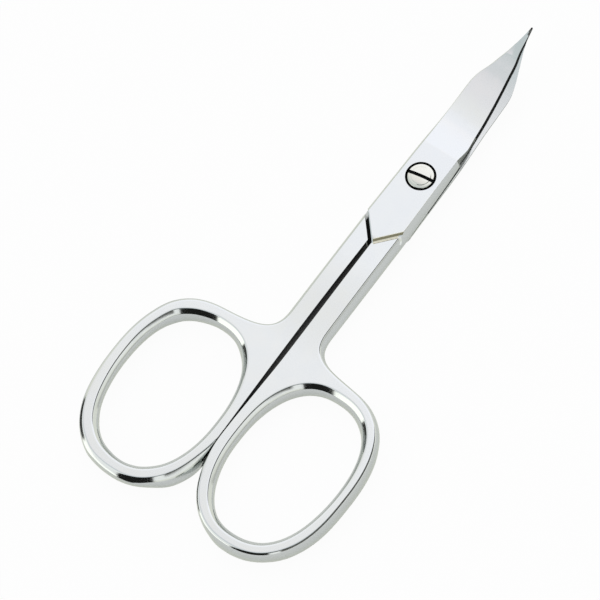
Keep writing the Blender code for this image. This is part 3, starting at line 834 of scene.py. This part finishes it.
def polished_nickel_plate(colours):
    """Bright nickel plate on forged steel, buffed by hand on a wheel.

    It mirrors the studio almost cleanly. The wheel leaves faint hairlines along the
    length, the forging under the plate a slow waviness of a few millimetres, and
    fingers a slight haze.
    """
    material, tree, shader, place = new_material("polished_nickel_plate")
    wave = add_node(tree, "ShaderNodeTexNoise", {
        "Scale": per_metre(4.5), "Detail": 2.0, "Roughness": 0.5,
    }, {"Vector": place})
    haze = add_node(tree, "ShaderNodeTexNoise", {
        "Scale": per_metre(3.0), "Detail": 4.0, "Roughness": 0.6, "Distortion": 0.6,
    }, {"Vector": place})
    along = add_node(tree, "ShaderNodeMapping", {
        "Scale": (per_metre(0.14), per_metre(5.0), per_metre(0.14)),
    }, {"Vector": place})
    hairlines = add_node(tree, "ShaderNodeTexNoise", {
        "Scale": 1.0, "Detail": 3.0, "Roughness": 0.6,
    }, {"Vector": along.outputs["Vector"]})
    tint = add_node(tree, "ShaderNodeMix", {
        "data_type": "RGBA", "A": dimmed(colours.nickel), "B": dimmed(colours.nickel_cool),
    }, {"Factor": haze.outputs["Fac"]})
    dulled = add_node(tree, "ShaderNodeMapRange", {
        "From Min": 0.35, "From Max": 0.7, "To Min": 0.07, "To Max": 0.13,
    }, {"Value": haze.outputs["Fac"]})
    scratched = add_node(tree, "ShaderNodeMapRange", {
        "From Min": 0.45, "From Max": 0.75, "To Min": 0.0, "To Max": 0.05,
    }, {"Value": hairlines.outputs["Fac"]})
    rough = add_node(tree, "ShaderNodeMath", {"operation": "ADD"}, {
        0: dulled.outputs["Result"], 1: scratched.outputs["Result"],
    })
    slow = add_node(tree, "ShaderNodeBump", {
        "Strength": 1.0, "Distance": 0.000006,
    }, {"Height": wave.outputs["Fac"]})
    fine = add_node(tree, "ShaderNodeBump", {
        "Strength": 1.0, "Distance": 0.0000006,
    }, {"Height": hairlines.outputs["Fac"], "Normal": slow.outputs["Normal"]})
    shader.inputs["Specular Tint"].default_value = NICKEL_GRAZING_TINT
    set_metal(
        shader, 1.0, tint.outputs["Result"], rough.outputs["Value"], fine.outputs["Normal"])
    return material


def ground_lap_steel(colours):
    """Hardened steel of the lapped faces, ground flat and left satin.

    Fine parallel grinding lines cross the face and the oil film darkens it. They are
    drawn 0.12 mm apart, wider than the real grit, so that they show.
    """
    material, tree, shader, place = new_material("ground_lap_steel")
    across = add_node(tree, "ShaderNodeMapping", {
        "Rotation": (0.0, 0.0, math.radians(12)),
        "Scale": (per_metre(6.0), per_metre(0.12), per_metre(0.5)),
    }, {"Vector": place})
    lines = add_node(tree, "ShaderNodeTexNoise", {
        "Scale": 1.0, "Detail": 3.0, "Roughness": 0.65,
    }, {"Vector": across.outputs["Vector"]})
    film = add_node(tree, "ShaderNodeTexNoise", {
        "Scale": per_metre(5.0), "Detail": 3.0,
    }, {"Vector": place})
    tint = add_node(tree, "ShaderNodeMix", {
        "data_type": "RGBA",
        "A": dimmed(colours.ground_steel, 0.88), "B": dimmed(colours.ground_steel),
    }, {"Factor": lines.outputs["Fac"]})
    rough = add_node(tree, "ShaderNodeMapRange", {
        "From Min": 0.3, "From Max": 0.7, "To Min": 0.16, "To Max": 0.24,
    }, {"Value": film.outputs["Fac"]})
    relief = add_node(tree, "ShaderNodeBump", {
        "Strength": 1.0, "Distance": 0.000004,
    }, {"Height": lines.outputs["Fac"]})
    set_metal(
        shader, 1.0, tint.outputs["Result"], rough.outputs["Result"], relief.outputs["Normal"])
    return material


def turned_screw_steel(colours):
    """Screw steel, turned on a lathe, slotted and plated, so rings run round its axis.

    The rings are drawn 0.75 mm apart, coarser than the tool's feed, so that they show.
    """
    material, tree, shader, place = new_material("turned_screw_steel")
    rings = add_node(tree, "ShaderNodeTexWave", {
        "wave_type": "RINGS", "rings_direction": "Z",
        "Scale": WAVE_LENGTH * per_metre(0.754), "Distortion": 0.4, "Detail": 2.0,
    }, {"Vector": place})
    stain = add_node(tree, "ShaderNodeTexNoise", {
        "Scale": per_metre(1.2), "Detail": 3.0,
    }, {"Vector": place})
    tint = add_node(tree, "ShaderNodeMix", {
        "data_type": "RGBA",
        "A": dimmed(colours.screw_steel), "B": dimmed(colours.screw_steel, 0.88),
    }, {"Factor": stain.outputs["Fac"]})
    rough = add_node(tree, "ShaderNodeMapRange", {
        "From Min": 0.3, "From Max": 0.7, "To Min": 0.10, "To Max": 0.18,
    }, {"Value": stain.outputs["Fac"]})
    relief = add_node(tree, "ShaderNodeBump", {
        "Strength": 0.6, "Distance": 0.0000015,
    }, {"Height": rings.outputs["Fac"]})
    set_metal(
        shader, 1.0, tint.outputs["Result"], rough.outputs["Result"], relief.outputs["Normal"])
    return material


def bare_steel(name, colour, grain, roughness):
    """Return dull, rough steel, mottled at a grain in mm, whose colour is painted light."""
    material, tree, shader, place = new_material(name)
    grime = add_node(tree, "ShaderNodeTexNoise", {
        "Scale": per_metre(grain), "Detail": 4.0,
    }, {"Vector": place})
    tint = add_node(tree, "ShaderNodeMix", {
        "data_type": "RGBA", "A": dimmed(colour), "B": dimmed(colour, 0.6),
    }, {"Factor": grime.outputs["Fac"]})
    rough = add_node(tree, "ShaderNodeMapRange", {
        "To Min": roughness - 0.1, "To Max": roughness + 0.1,
    }, {"Value": grime.outputs["Fac"]})
    relief = add_node(tree, "ShaderNodeBump", {
        "Strength": 0.5, "Distance": 0.000008,
    }, {"Height": grime.outputs["Fac"]})
    set_metal(
        shader, 0.8, tint.outputs["Result"], rough.outputs["Result"], relief.outputs["Normal"])
    return material


def recess_painted_shade_steel(colours):
    """Steel of slot, recess and inner sides, near-black as painted shade, dull and rough.

    At the outer sides, at the open ends of the V-shaped gap, the painted shade gives way
    to the nickel's colour.
    """
    material = bare_steel(
        "recess_painted_shade_steel", colours.recess_steel, grain=0.4, roughness=0.55)
    tree = material.node_tree
    shader = tree.nodes["Principled BSDF"]
    recess_shade = shader.inputs["Base Color"].links[0].from_socket
    place = add_node(tree, "ShaderNodeTexCoord").outputs["Object"]
    across = add_node(tree, "ShaderNodeSeparateXYZ", links={"Vector": place})
    outward = add_node(tree, "ShaderNodeMath", {"operation": "ABSOLUTE"}, {
        0: across.outputs["X"],
    })
    shade_fade = add_node(tree, "ShaderNodeMapRange", {
        "From Min": SHADE_FADE_START, "From Max": SHADE_FADE_END,
    }, {"Value": outward.outputs["Value"]})
    tint = add_node(tree, "ShaderNodeMix", {
        "data_type": "RGBA", "B": dimmed(colours.nickel),
    }, {"Factor": shade_fade.outputs["Result"], "A": recess_shade})
    tree.links.new(tint.outputs["Result"], shader.inputs["Base Color"])
    return material


def facet_painted_reflection_steel(colours):
    """Steel of the heel's ground facet, darkened grey as a painted dark reflection."""
    return bare_steel("facet_painted_reflection_steel", colours.facet_steel, grain=0.3, roughness=0.35)


def step_painted_reflection_steel(colours):
    """Steel of the tail's step, tinted straw-olive as a painted warm reflection."""
    return bare_steel("step_painted_reflection_steel", colours.step_steel, grain=0.25, roughness=0.35)


def ramp_painted_reflection_steel(colours):
    """The same steel on the ramp below the step, paler, as a painted bright reflection."""
    return bare_steel("ramp_painted_reflection_steel", colours.ramp_steel, grain=0.25, roughness=0.35)


def edge_painted_shade_steel(colours):
    """Near-black steel: painted shade on the lap's rim, a painted dark reflection on the edge."""
    return bare_steel("edge_painted_shade_steel", colours.edge_steel, grain=0.15, roughness=0.45)


def finish(maker):
    """Return the material that its maker is named for, made when it is first asked for."""
    found = bpy.data.materials.get(maker.__name__)
    return found or maker(bpy.context.scene.scissor_colours)


def model_handle(shape):
    """Model shank and bow: wrapped walls, flat faces, and a slow taper in thickness."""
    middle = shape.middle

    def wall(outline, name):
        points, sections = outline
        normals = []
        for index, point in enumerate(points):
            before = (point - points[index - 1]).normalized()
            after = (points[(index + 1) % len(points)] - point).normalized()
            side = Vector((before.y, -before.x)) + Vector((after.y, -after.x))
            side.normalize()
            normals.append(side / max(side.dot(Vector((after.y, -after.x))), LEAST_MITRE))
        rows = []
        for level in range(len(sections[0])):
            row = []
            for point, normal, section in zip(points, normals, sections):
                out, height = section[level]
                spot = point + normal * out
                spot.x = max(spot.x, shape.gap_side(-spot.y))
                row.append(Vector((spot.x, spot.y, middle + height)))
            rows.append(row + row[:1])
        return wrap_sheet(name, rows)

    outer = wall(shape.handle_outline(), "outer_wall")
    inner = wall(shape.hole_outline(), "hole_wall")
    hold(inner, outer)
    bpy.ops.object.join()
    close_ends(outer, 2, middle)
    hold(outer)
    bpy.ops.object.mode_set(mode="EDIT")
    taper_start = shape.sizes.shank_taper_start
    for step in range(TAPER_CUTS + 1):
        reach = taper_start + (shape.bow_top_reach - taper_start) * step / TAPER_CUTS
        bpy.ops.mesh.select_all(action="SELECT")
        bpy.ops.mesh.bisect(plane_co=(0, -reach, 0), plane_no=(0, 1, 0))
    bpy.ops.object.mode_set(mode="OBJECT")
    for vertex in outer.data.vertices:
        vertex.co.z = middle + (vertex.co.z - middle) * shape.handle_swell(-vertex.co.y)
    # The faces toward the other half get the recess's painted shade, for the shade in the gap
    paint(outer, polished_nickel_plate, recess_painted_shade_steel)
    for face in outer.data.polygons:
        inner_side = shape.gap_side(-face.center.y) + MERGE_DISTANCE
        if face.normal.x < GAP_FACES_LEFT and face.center.x < inner_side:
            face.material_index = GAP_SIDE
    return outer


def model_shoulder_cutter(shape):
    """Model the room that the other half's plate and V-shaped tail take beside the shank."""
    sizes = shape.sizes
    apex = -sizes.v_apex_reach - sizes.v_gap * shape.v_stretch
    reach = 2 * sizes.box_half_width
    outline = (
        (0, apex), (reach, apex + shape.v_rise * reach), (reach, 0), (-reach, 0),
        (-reach, apex + shape.v_rise * reach), (0, apex),
    )
    heights = (-CUT_OVERRUN, shape.upper_lap + JOIN_EMBED)
    rows = [[Vector((x, y, height)) for x, y in outline] for height in heights]
    cutter = wrap_sheet("shoulder_cutter", rows)
    close_ends(cutter, 2, shape.middle)
    # The faces this cut leaves on the half carry painted shade in the V-shaped gap
    paint(cutter, recess_painted_shade_steel)
    return cutter


def model_plate(shape):
    """Model the V-shaped tail, the box's plate and the blade, flat on the lapped face."""
    plate = wrap_sheet("plate", shape.plate_ribs())
    close_ends(plate, 1, 0)
    # Beside nickel and ground lap, these finishes carry painted shade or painted reflections
    paint(plate, polished_nickel_plate, ground_lap_steel, facet_painted_reflection_steel,
          edge_painted_shade_steel, recess_painted_shade_steel, step_painted_reflection_steel, ramp_painted_reflection_steel)
    sizes = shape.sizes
    for face in plate.data.polygons:
        corners = [plate.data.vertices[index].co for index in face.vertices]
        highest = max(corner.z for corner in corners)
        upright = abs(face.normal.z) < UPRIGHT_BELOW
        seam = highest < shape.upper_lap + sizes.seam_height + MERGE_DISTANCE
        reach = face.center.y
        # Lap faces under the tail get painted shade; the others keep the ground lap
        if highest < shape.upper_lap + MERGE_DISTANCE:
            in_tail = min(corner.y for corner in corners) < -sizes.v_corner_reach - JOIN_EMBED
            face.material_index = RECESS if in_tail else LAP
        # The tail's step and ramp get painted warm reflections
        elif (face.normal.x > 0 and STEP_ABOVE < face.normal.z < STEP_BELOW and reach < 0
                and max(corner.x for corner in corners) < sizes.box_half_width + JOIN_EMBED):
            face.material_index = RAMP if face.normal.z > RAMP_ABOVE else STEP
        # Edge and seam faces get painted shade, the facet a painted dark reflection
        elif upright and face.normal.x > EDGE_FACES_RIGHT and reach > sizes.facet_start:
            face.material_index = EDGE if seam or reach > sizes.facet_end else FACET
        elif upright and seam and reach > -sizes.seam_end:
            face.material_index = EDGE
        # The tail's back walls beside the gap get painted shade
        elif upright and face.normal.x < 0 and face.normal.y < TAIL_FACES_BACK and reach < 0:
            face.material_index = RECESS
    return plate


def model_half(shape, name):
    """Model one forging, flat, as the upper half lies."""
    half = model_handle(shape)
    half.name = name
    combine(half, model_shoulder_cutter(shape), "DIFFERENCE")
    combine(half, model_plate(shape), "UNION")
    return half


def drill(half, name, radius, low, high, maker):
    """Cut a round hole on the pivot's axis, and give its walls a finish."""
    clear_selection()
    bpy.ops.mesh.primitive_cylinder_add(
        vertices=TURNED_STEPS, radius=radius, depth=high - low, location=(0, 0, (low + high) / 2))
    tool = bpy.context.object
    tool.name = name
    bpy.ops.object.transform_apply(location=True, rotation=True, scale=True)
    paint(tool, maker)
    combine(half, tool, "DIFFERENCE")


def curve_blade(half, shape):
    """Raise the blade along its curve, which depends on the distance from the pivot."""
    for vertex in half.data.vertices:
        if vertex.co.y > 0:
            vertex.co.z += shape.rise_at(math.hypot(vertex.co.x, vertex.co.y))


class SCISSORS_OT_upper_half(bpy.types.Operator):
    """Model the upper half: blade, plate with its V-shaped tail, right shank and bow"""

    bl_idname = "scissors.upper_half"
    bl_label = "Upper Half"

    def execute(self, context):
        sizes = context.scene.scissor_sizes
        shape = Half(sizes, upper=True)
        half = model_half(shape, "upper_half_polished")
        drill(half, "journal_bore", sizes.journal_radius + sizes.seat_clearance,
              shape.middle, sizes.box_thickness, ground_lap_steel)
        # The head's recess carries painted shade round the head
        drill(half, "head_recess", sizes.head_radius + sizes.recess_clearance,
              shape.recess_floor, sizes.box_thickness + CUT_OVERRUN, recess_painted_shade_steel)
        curve_blade(half, shape)
        finish_piece(half)
        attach(half, "upper")
        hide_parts("upper_half")
        return {"FINISHED"}


class SCISSORS_OT_lower_half(bpy.types.Operator):
    """Model the lower half from its own tables, turned over, with the screw's tapped hole"""

    bl_idname = "scissors.lower_half"
    bl_label = "Lower Half"

    def execute(self, context):
        sizes = context.scene.scissor_sizes
        shape = Half(sizes, upper=False)
        half = model_half(shape, "lower_half_polished")
        hold(half)
        bpy.ops.transform.rotate(
            value=math.pi, orient_axis="Y", center_override=(0, 0, shape.middle))
        bpy.ops.object.transform_apply(location=True, rotation=True, scale=True)
        # The screw hole's walls carry painted shade
        drill(half, "screw_hole", sizes.tail_radius + sizes.seat_clearance,
              -CUT_OVERRUN, shape.middle, recess_painted_shade_steel)
        curve_blade(half, shape)
        finish_piece(half)
        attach(half, "lower")
        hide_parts("lower_half")
        return {"FINISHED"}


class SCISSORS_OT_pivot_screw(bpy.types.Operator):
    """Turn the slotted pivot screw: head, journal and flush tail"""

    bl_idname = "scissors.pivot_screw"
    bl_label = "Pivot Screw"

    def execute(self, context):
        sizes = context.scene.scissor_sizes
        shape = Half(sizes, upper=True)
        head_bottom = shape.recess_floor + sizes.seat_clearance
        rim = head_bottom + sizes.head_edge_height
        seat = shape.middle - sizes.lap_gap / 2 + sizes.seat_clearance
        chamfer = 3 * sizes.seat_clearance
        profile = [
            (sizes.tail_radius - chamfer, 0.0),
            (sizes.tail_radius, chamfer),
            (sizes.tail_radius, seat),
            (sizes.journal_radius, seat),
            (sizes.journal_radius, head_bottom),
            (sizes.head_radius, head_bottom),
        ]
        crown = rim + sizes.head_crown
        for radius_share, crown_share in HEAD_PROFILE:
            profile.append((
                sizes.head_radius * radius_share, rim + (crown - rim) * crown_share))
        turns = [2 * math.pi * step / TURNED_STEPS for step in range(TURNED_STEPS)]
        turns.append(0.0)
        rows = [
            [Vector((radius * math.cos(turn), radius * math.sin(turn), height)) for turn in turns]
            for radius, height in profile
        ]
        screw = wrap_sheet("pivot_screw_turned", rows)
        close_ends(screw, 2, shape.middle)
        paint(screw, turned_screw_steel)
        clear_selection()
        depth = CUT_OVERRUN + 2 * sizes.slot_depth
        bpy.ops.mesh.primitive_cube_add(
            size=1, location=(0, 0, crown + depth / 2 - sizes.slot_depth),
            rotation=(0, 0, sizes.slot_turn),
            scale=(4 * sizes.head_radius, sizes.slot_width, depth))
        tool = bpy.context.object
        tool.name = "screw_slot"
        bpy.ops.object.transform_apply(location=True, rotation=True, scale=True)
        # The slot's cut faces carry painted shade
        paint(tool, recess_painted_shade_steel)
        combine(screw, tool, "DIFFERENCE")
        finish_piece(screw)
        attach(screw, "lower")
        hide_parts("pivot_screw")
        return {"FINISHED"}


# Studio walls by the sine of elevation: cream paper below, white above
WALL_STOPS = (
    (-1.0, (1.0, 1.0, 1.0)), (0.0, (1.06, 1.06, 0.98)), (0.30, (1.06, 1.06, 0.98)),
    (0.42, (1.25, 1.25, 1.25)), (1.0, (1.25, 1.25, 1.25)),
)
# The ceiling, by its place along Y: grey at the near end, brightest and coolest beyond
CEILING_STOPS = (
    (0.025, (0.85, 0.91, 0.95)), (0.085, (0.84, 0.89, 0.92)), (0.105, (1.155, 1.11, 1.17)),
    (0.15, (1.19, 1.146, 1.20)), (0.19, (1.23, 1.18, 1.24)), (0.232, (1.255, 1.225, 1.24)),
    (0.25, (1.31, 1.285, 1.31)), (0.27, (1.36, 1.33, 1.39)), (0.30, (1.385, 1.37, 1.45)),
    (0.36, (1.385, 1.365, 1.46)), (0.50, (1.46, 1.42, 1.50)), (0.60, (1.46, 1.44, 1.55)),
)
CEILING_PATCH = ((-0.15, 0.35, 0.925), math.radians(40), math.radians(50))
# Each screen: middle turn, half width, lowest and highest sine of elevation, softness, level
SCREENS = (
    (math.radians(-78), math.radians(25), 0.0, 0.93, 0.04, 0.015),
    (math.radians(18), math.radians(52), 0.50, 0.88, 0.08, 0.15),
    (math.radians(20), math.radians(25), -0.1, 0.25, 0.05, 0.7),
    (math.radians(-126.5), math.radians(23.5), -0.05, 0.45, 0.04, 1.7),
    (math.radians(-165), math.radians(14), -0.3, 0.34, 0.04, 0.05),
)
SCREEN_BLUE_SHARE = 0.95
# The camera and its hood: direction, inner and outer half angle
CAMERA_SHADE = ((0.2974, -0.2830, 0.9117), math.radians(7), math.radians(12))
CAMERA_SHADE_COLOUR = (0.03, 0.027, 0.015)
# A grey-green card beside the lens, which the rising tips mirror
TIP_SHADE = ((0.25, 0.0, 0.968), math.radians(12.4), math.radians(13.6))
TIP_SHADE_COLOUR = (0.84, 0.895, 0.925)


def screen_patch(tree, way, middle, half, low, high, soft):
    """Return a socket that is 1 inside a screen's patch of the room and 0 outside."""
    split = add_node(tree, "ShaderNodeSeparateXYZ", None, {"Vector": way})
    turn = add_node(tree, "ShaderNodeMath", {"operation": "ARCTAN2"}, {
        0: split.outputs["Y"], 1: split.outputs["X"],
    })
    offset = add_node(tree, "ShaderNodeMath", {"operation": "SUBTRACT", 1: middle}, {
        0: turn.outputs["Value"],
    })
    wrapped = add_node(tree, "ShaderNodeMath", {
        "operation": "WRAP", 1: math.pi, 2: -math.pi,
    }, {0: offset.outputs["Value"]})
    away = add_node(tree, "ShaderNodeMath", {"operation": "ABSOLUTE"}, {
        0: wrapped.outputs["Value"],
    })
    beside, above, below = (
        add_node(tree, "ShaderNodeMapRange", {
            "interpolation_type": "SMOOTHSTEP", "From Min": outer, "From Max": inner,
        }, {"Value": value}).outputs["Result"]
        for value, outer, inner in (
            (away.outputs["Value"], half + soft, half),
            (split.outputs["Z"], low - soft / 2, low),
            (split.outputs["Z"], high + soft / 2, high),
        )
    )
    product = add_node(tree, "ShaderNodeMath", {"operation": "MULTIPLY"}, {0: beside, 1: above})
    result = add_node(tree, "ShaderNodeMath", {"operation": "MULTIPLY"}, {
        0: product.outputs["Value"], 1: below,
    })
    return result.outputs["Value"]


def level_ramp(tree, value, stops):
    """Return the colour socket of a ramp over values from -1 to 1, given as rows of stops."""
    placed = add_node(tree, "ShaderNodeMapRange", {"From Min": -1.0}, {"Value": value})
    node = add_node(tree, "ShaderNodeValToRGB", None, {"Fac": placed.outputs["Result"]})
    ramp = node.color_ramp
    while len(ramp.elements) < len(stops):
        ramp.elements.new(0.5)
    for element, (place, colour) in zip(ramp.elements, stops):
        element.position = (place + 1) / 2
        element.color = (*colour, 1)
    return node.outputs["Color"]


def round_patch(tree, way, middle, inner, outer):
    """Return a socket that is 1 inside a round patch of the room and 0 outside."""
    towards = add_node(tree, "ShaderNodeVectorMath", {
        "operation": "DOT_PRODUCT", 1: Vector(middle).normalized(),
    }, {0: way})
    inside = add_node(tree, "ShaderNodeMapRange", {
        "interpolation_type": "SMOOTHSTEP",
        "From Min": math.cos(outer), "From Max": math.cos(inner),
    }, {"Value": towards.outputs["Value"]})
    return inside.outputs["Result"]


def build_room():
    """Light the room: a white tent with a brighter ceiling and grey and black screens.

    Rays from the camera see plain white.
    """
    world = bpy.data.worlds.new("studio_room")
    bpy.context.scene.world = world
    world.use_nodes = True
    tree = world.node_tree
    tree.nodes.clear()
    way = add_node(tree, "ShaderNodeTexCoord").outputs["Generated"]
    split = add_node(tree, "ShaderNodeSeparateXYZ", None, {"Vector": way})
    walls = level_ramp(tree, split.outputs["Z"], WALL_STOPS)
    ceiling = level_ramp(tree, split.outputs["Y"], CEILING_STOPS)
    lit = add_node(tree, "ShaderNodeMix", {"data_type": "RGBA"}, {
        "Factor": round_patch(tree, way, *CEILING_PATCH), "A": walls, "B": ceiling,
    })
    light = lit.outputs["Result"]
    patches = [(round_patch(tree, way, *TIP_SHADE), TIP_SHADE_COLOUR)]
    for *place, level in SCREENS:
        shade = (level, level, SCREEN_BLUE_SHARE * level)
        patches.append((screen_patch(tree, way, *place), shade))
    patches.append((round_patch(tree, way, *CAMERA_SHADE), CAMERA_SHADE_COLOUR))
    for patch, shade in patches:
        shaded = add_node(tree, "ShaderNodeMix", {"data_type": "RGBA", "B": dimmed(shade)}, {
            "Factor": patch, "A": light,
        })
        light = shaded.outputs["Result"]
    room = add_node(tree, "ShaderNodeBackground", {"Strength": 1.0}, {"Color": light})
    white = add_node(tree, "ShaderNodeBackground", {
        "Strength": 1.0, "Color": (1, 1, 1, 1),
    })
    ray = add_node(tree, "ShaderNodeLightPath")
    seen = add_node(tree, "ShaderNodeMixShader", None, {
        "Fac": ray.outputs["Is Camera Ray"],
        1: room.outputs["Background"], 2: white.outputs["Background"],
    })
    add_node(tree, "ShaderNodeOutputWorld", None, {"Surface": seen.outputs["Shader"]})


def white_card(colours):
    """Smooth white card, lit evenly, so that only the object's soft shadow tones it.

    Its fibres are too fine to see; a faint cloudiness of 20 mm is left.
    """
    material, tree, shader, place = new_material("white_card")
    cloud = add_node(tree, "ShaderNodeTexNoise", {"Scale": per_metre(20.0)}, {"Vector": place})
    tint = add_node(tree, "ShaderNodeMix", {
        "data_type": "RGBA", "A": dimmed(colours.paper), "B": dimmed(colours.paper, 0.99),
    }, {"Factor": cloud.outputs["Fac"]})
    tree.links.new(tint.outputs["Result"], shader.inputs["Base Color"])
    shader.inputs["Roughness"].default_value = 0.9
    shader.inputs["Specular IOR Level"].default_value = 0.1
    glow = add_node(tree, "ShaderNodeEmission", {"Strength": 1.0, "Color": (1, 1, 1, 1)})
    ray = add_node(tree, "ShaderNodeLightPath")
    camera_share = add_node(tree, "ShaderNodeMath", {"operation": "MULTIPLY", 1: CARD_GLOW}, {
        0: ray.outputs["Is Camera Ray"],
    })
    share = add_node(tree, "ShaderNodeMath", {
        "operation": "MULTIPLY_ADD", 1: MIRRORED_CARD_GLOW,
    }, {0: ray.outputs["Is Glossy Ray"], 2: camera_share.outputs["Value"]})
    seen = add_node(tree, "ShaderNodeMixShader", None, {
        "Fac": share.outputs["Value"],
        1: shader.outputs["BSDF"], 2: glow.outputs["Emission"],
    })
    output = tree.nodes["Material Output"]
    tree.links.new(seen.outputs["Shader"], output.inputs["Surface"])
    return material


class SCISSORS_OT_stage(bpy.types.Operator):
    """Set the white card, the room's light and the camera"""

    bl_idname = "scissors.stage"
    bl_label = "Stage"

    def execute(self, context):
        clear_selection()
        bpy.ops.mesh.primitive_plane_add(size=CARD_SIZE, location=(0, 0, -CARD_DROP))
        card = bpy.context.object
        card.name = "white_card"
        bpy.ops.object.transform_apply(location=True, rotation=True, scale=True)
        paint(card, white_card)
        build_room()
        right, up = Vector(CAMERA_RIGHT), Vector(CAMERA_UP)
        back = right.cross(up).normalized()
        place = Vector(CAMERA_TARGET) + back * CAMERA_DISTANCE
        bpy.ops.object.camera_add(location=place)
        camera = bpy.context.object
        camera.name = "camera"
        camera.rotation_mode = "QUATERNION"
        camera.rotation_quaternion = Matrix((right, up, back)).transposed().to_quaternion()
        camera.data.sensor_width = CAMERA_SENSOR
        camera.data.lens = CAMERA_LENS
        camera.data.clip_start, camera.data.clip_end = CAMERA_CLIP
        context.scene.camera = camera
        context.scene.view_settings.view_transform = "Standard"
        return {"FINISHED"}


class SCISSORS_PT_panel(bpy.types.Panel):
    """List the pieces and the stage in the sidebar"""

    bl_idname = "SCISSORS_PT_panel"
    bl_label = "Nail Scissors"
    bl_space_type = "VIEW_3D"
    bl_region_type = "UI"
    bl_category = "Nail Scissors"

    def draw(self, context):
        layout = self.layout
        for operator in OPERATORS:
            layout.operator(operator.bl_idname)
        for group in (context.scene.scissor_sizes, context.scene.scissor_colours):
            box = layout.box()
            for name in group.__annotations__:
                box.prop(group, name)


OPERATORS = (
    SCISSORS_OT_upper_half,
    SCISSORS_OT_lower_half,
    SCISSORS_OT_pivot_screw,
    SCISSORS_OT_stage,
)
CLASSES = (ScissorSizes, ScissorColours, *OPERATORS, SCISSORS_PT_panel)


def register():
    for each in CLASSES:
        bpy.utils.register_class(each)
    bpy.types.Scene.scissor_sizes = PointerProperty(type=ScissorSizes)
    bpy.types.Scene.scissor_colours = PointerProperty(type=ScissorColours)


def unregister():
    del bpy.types.Scene.scissor_colours
    del bpy.types.Scene.scissor_sizes
    for each in reversed(CLASSES):
        bpy.utils.unregister_class(each)


def main():
    register()
    bpy.ops.scissors.upper_half()
    bpy.ops.scissors.lower_half()
    bpy.ops.scissors.pivot_screw()
    bpy.ops.scissors.stage()


if __name__ == "__main__":
    main()
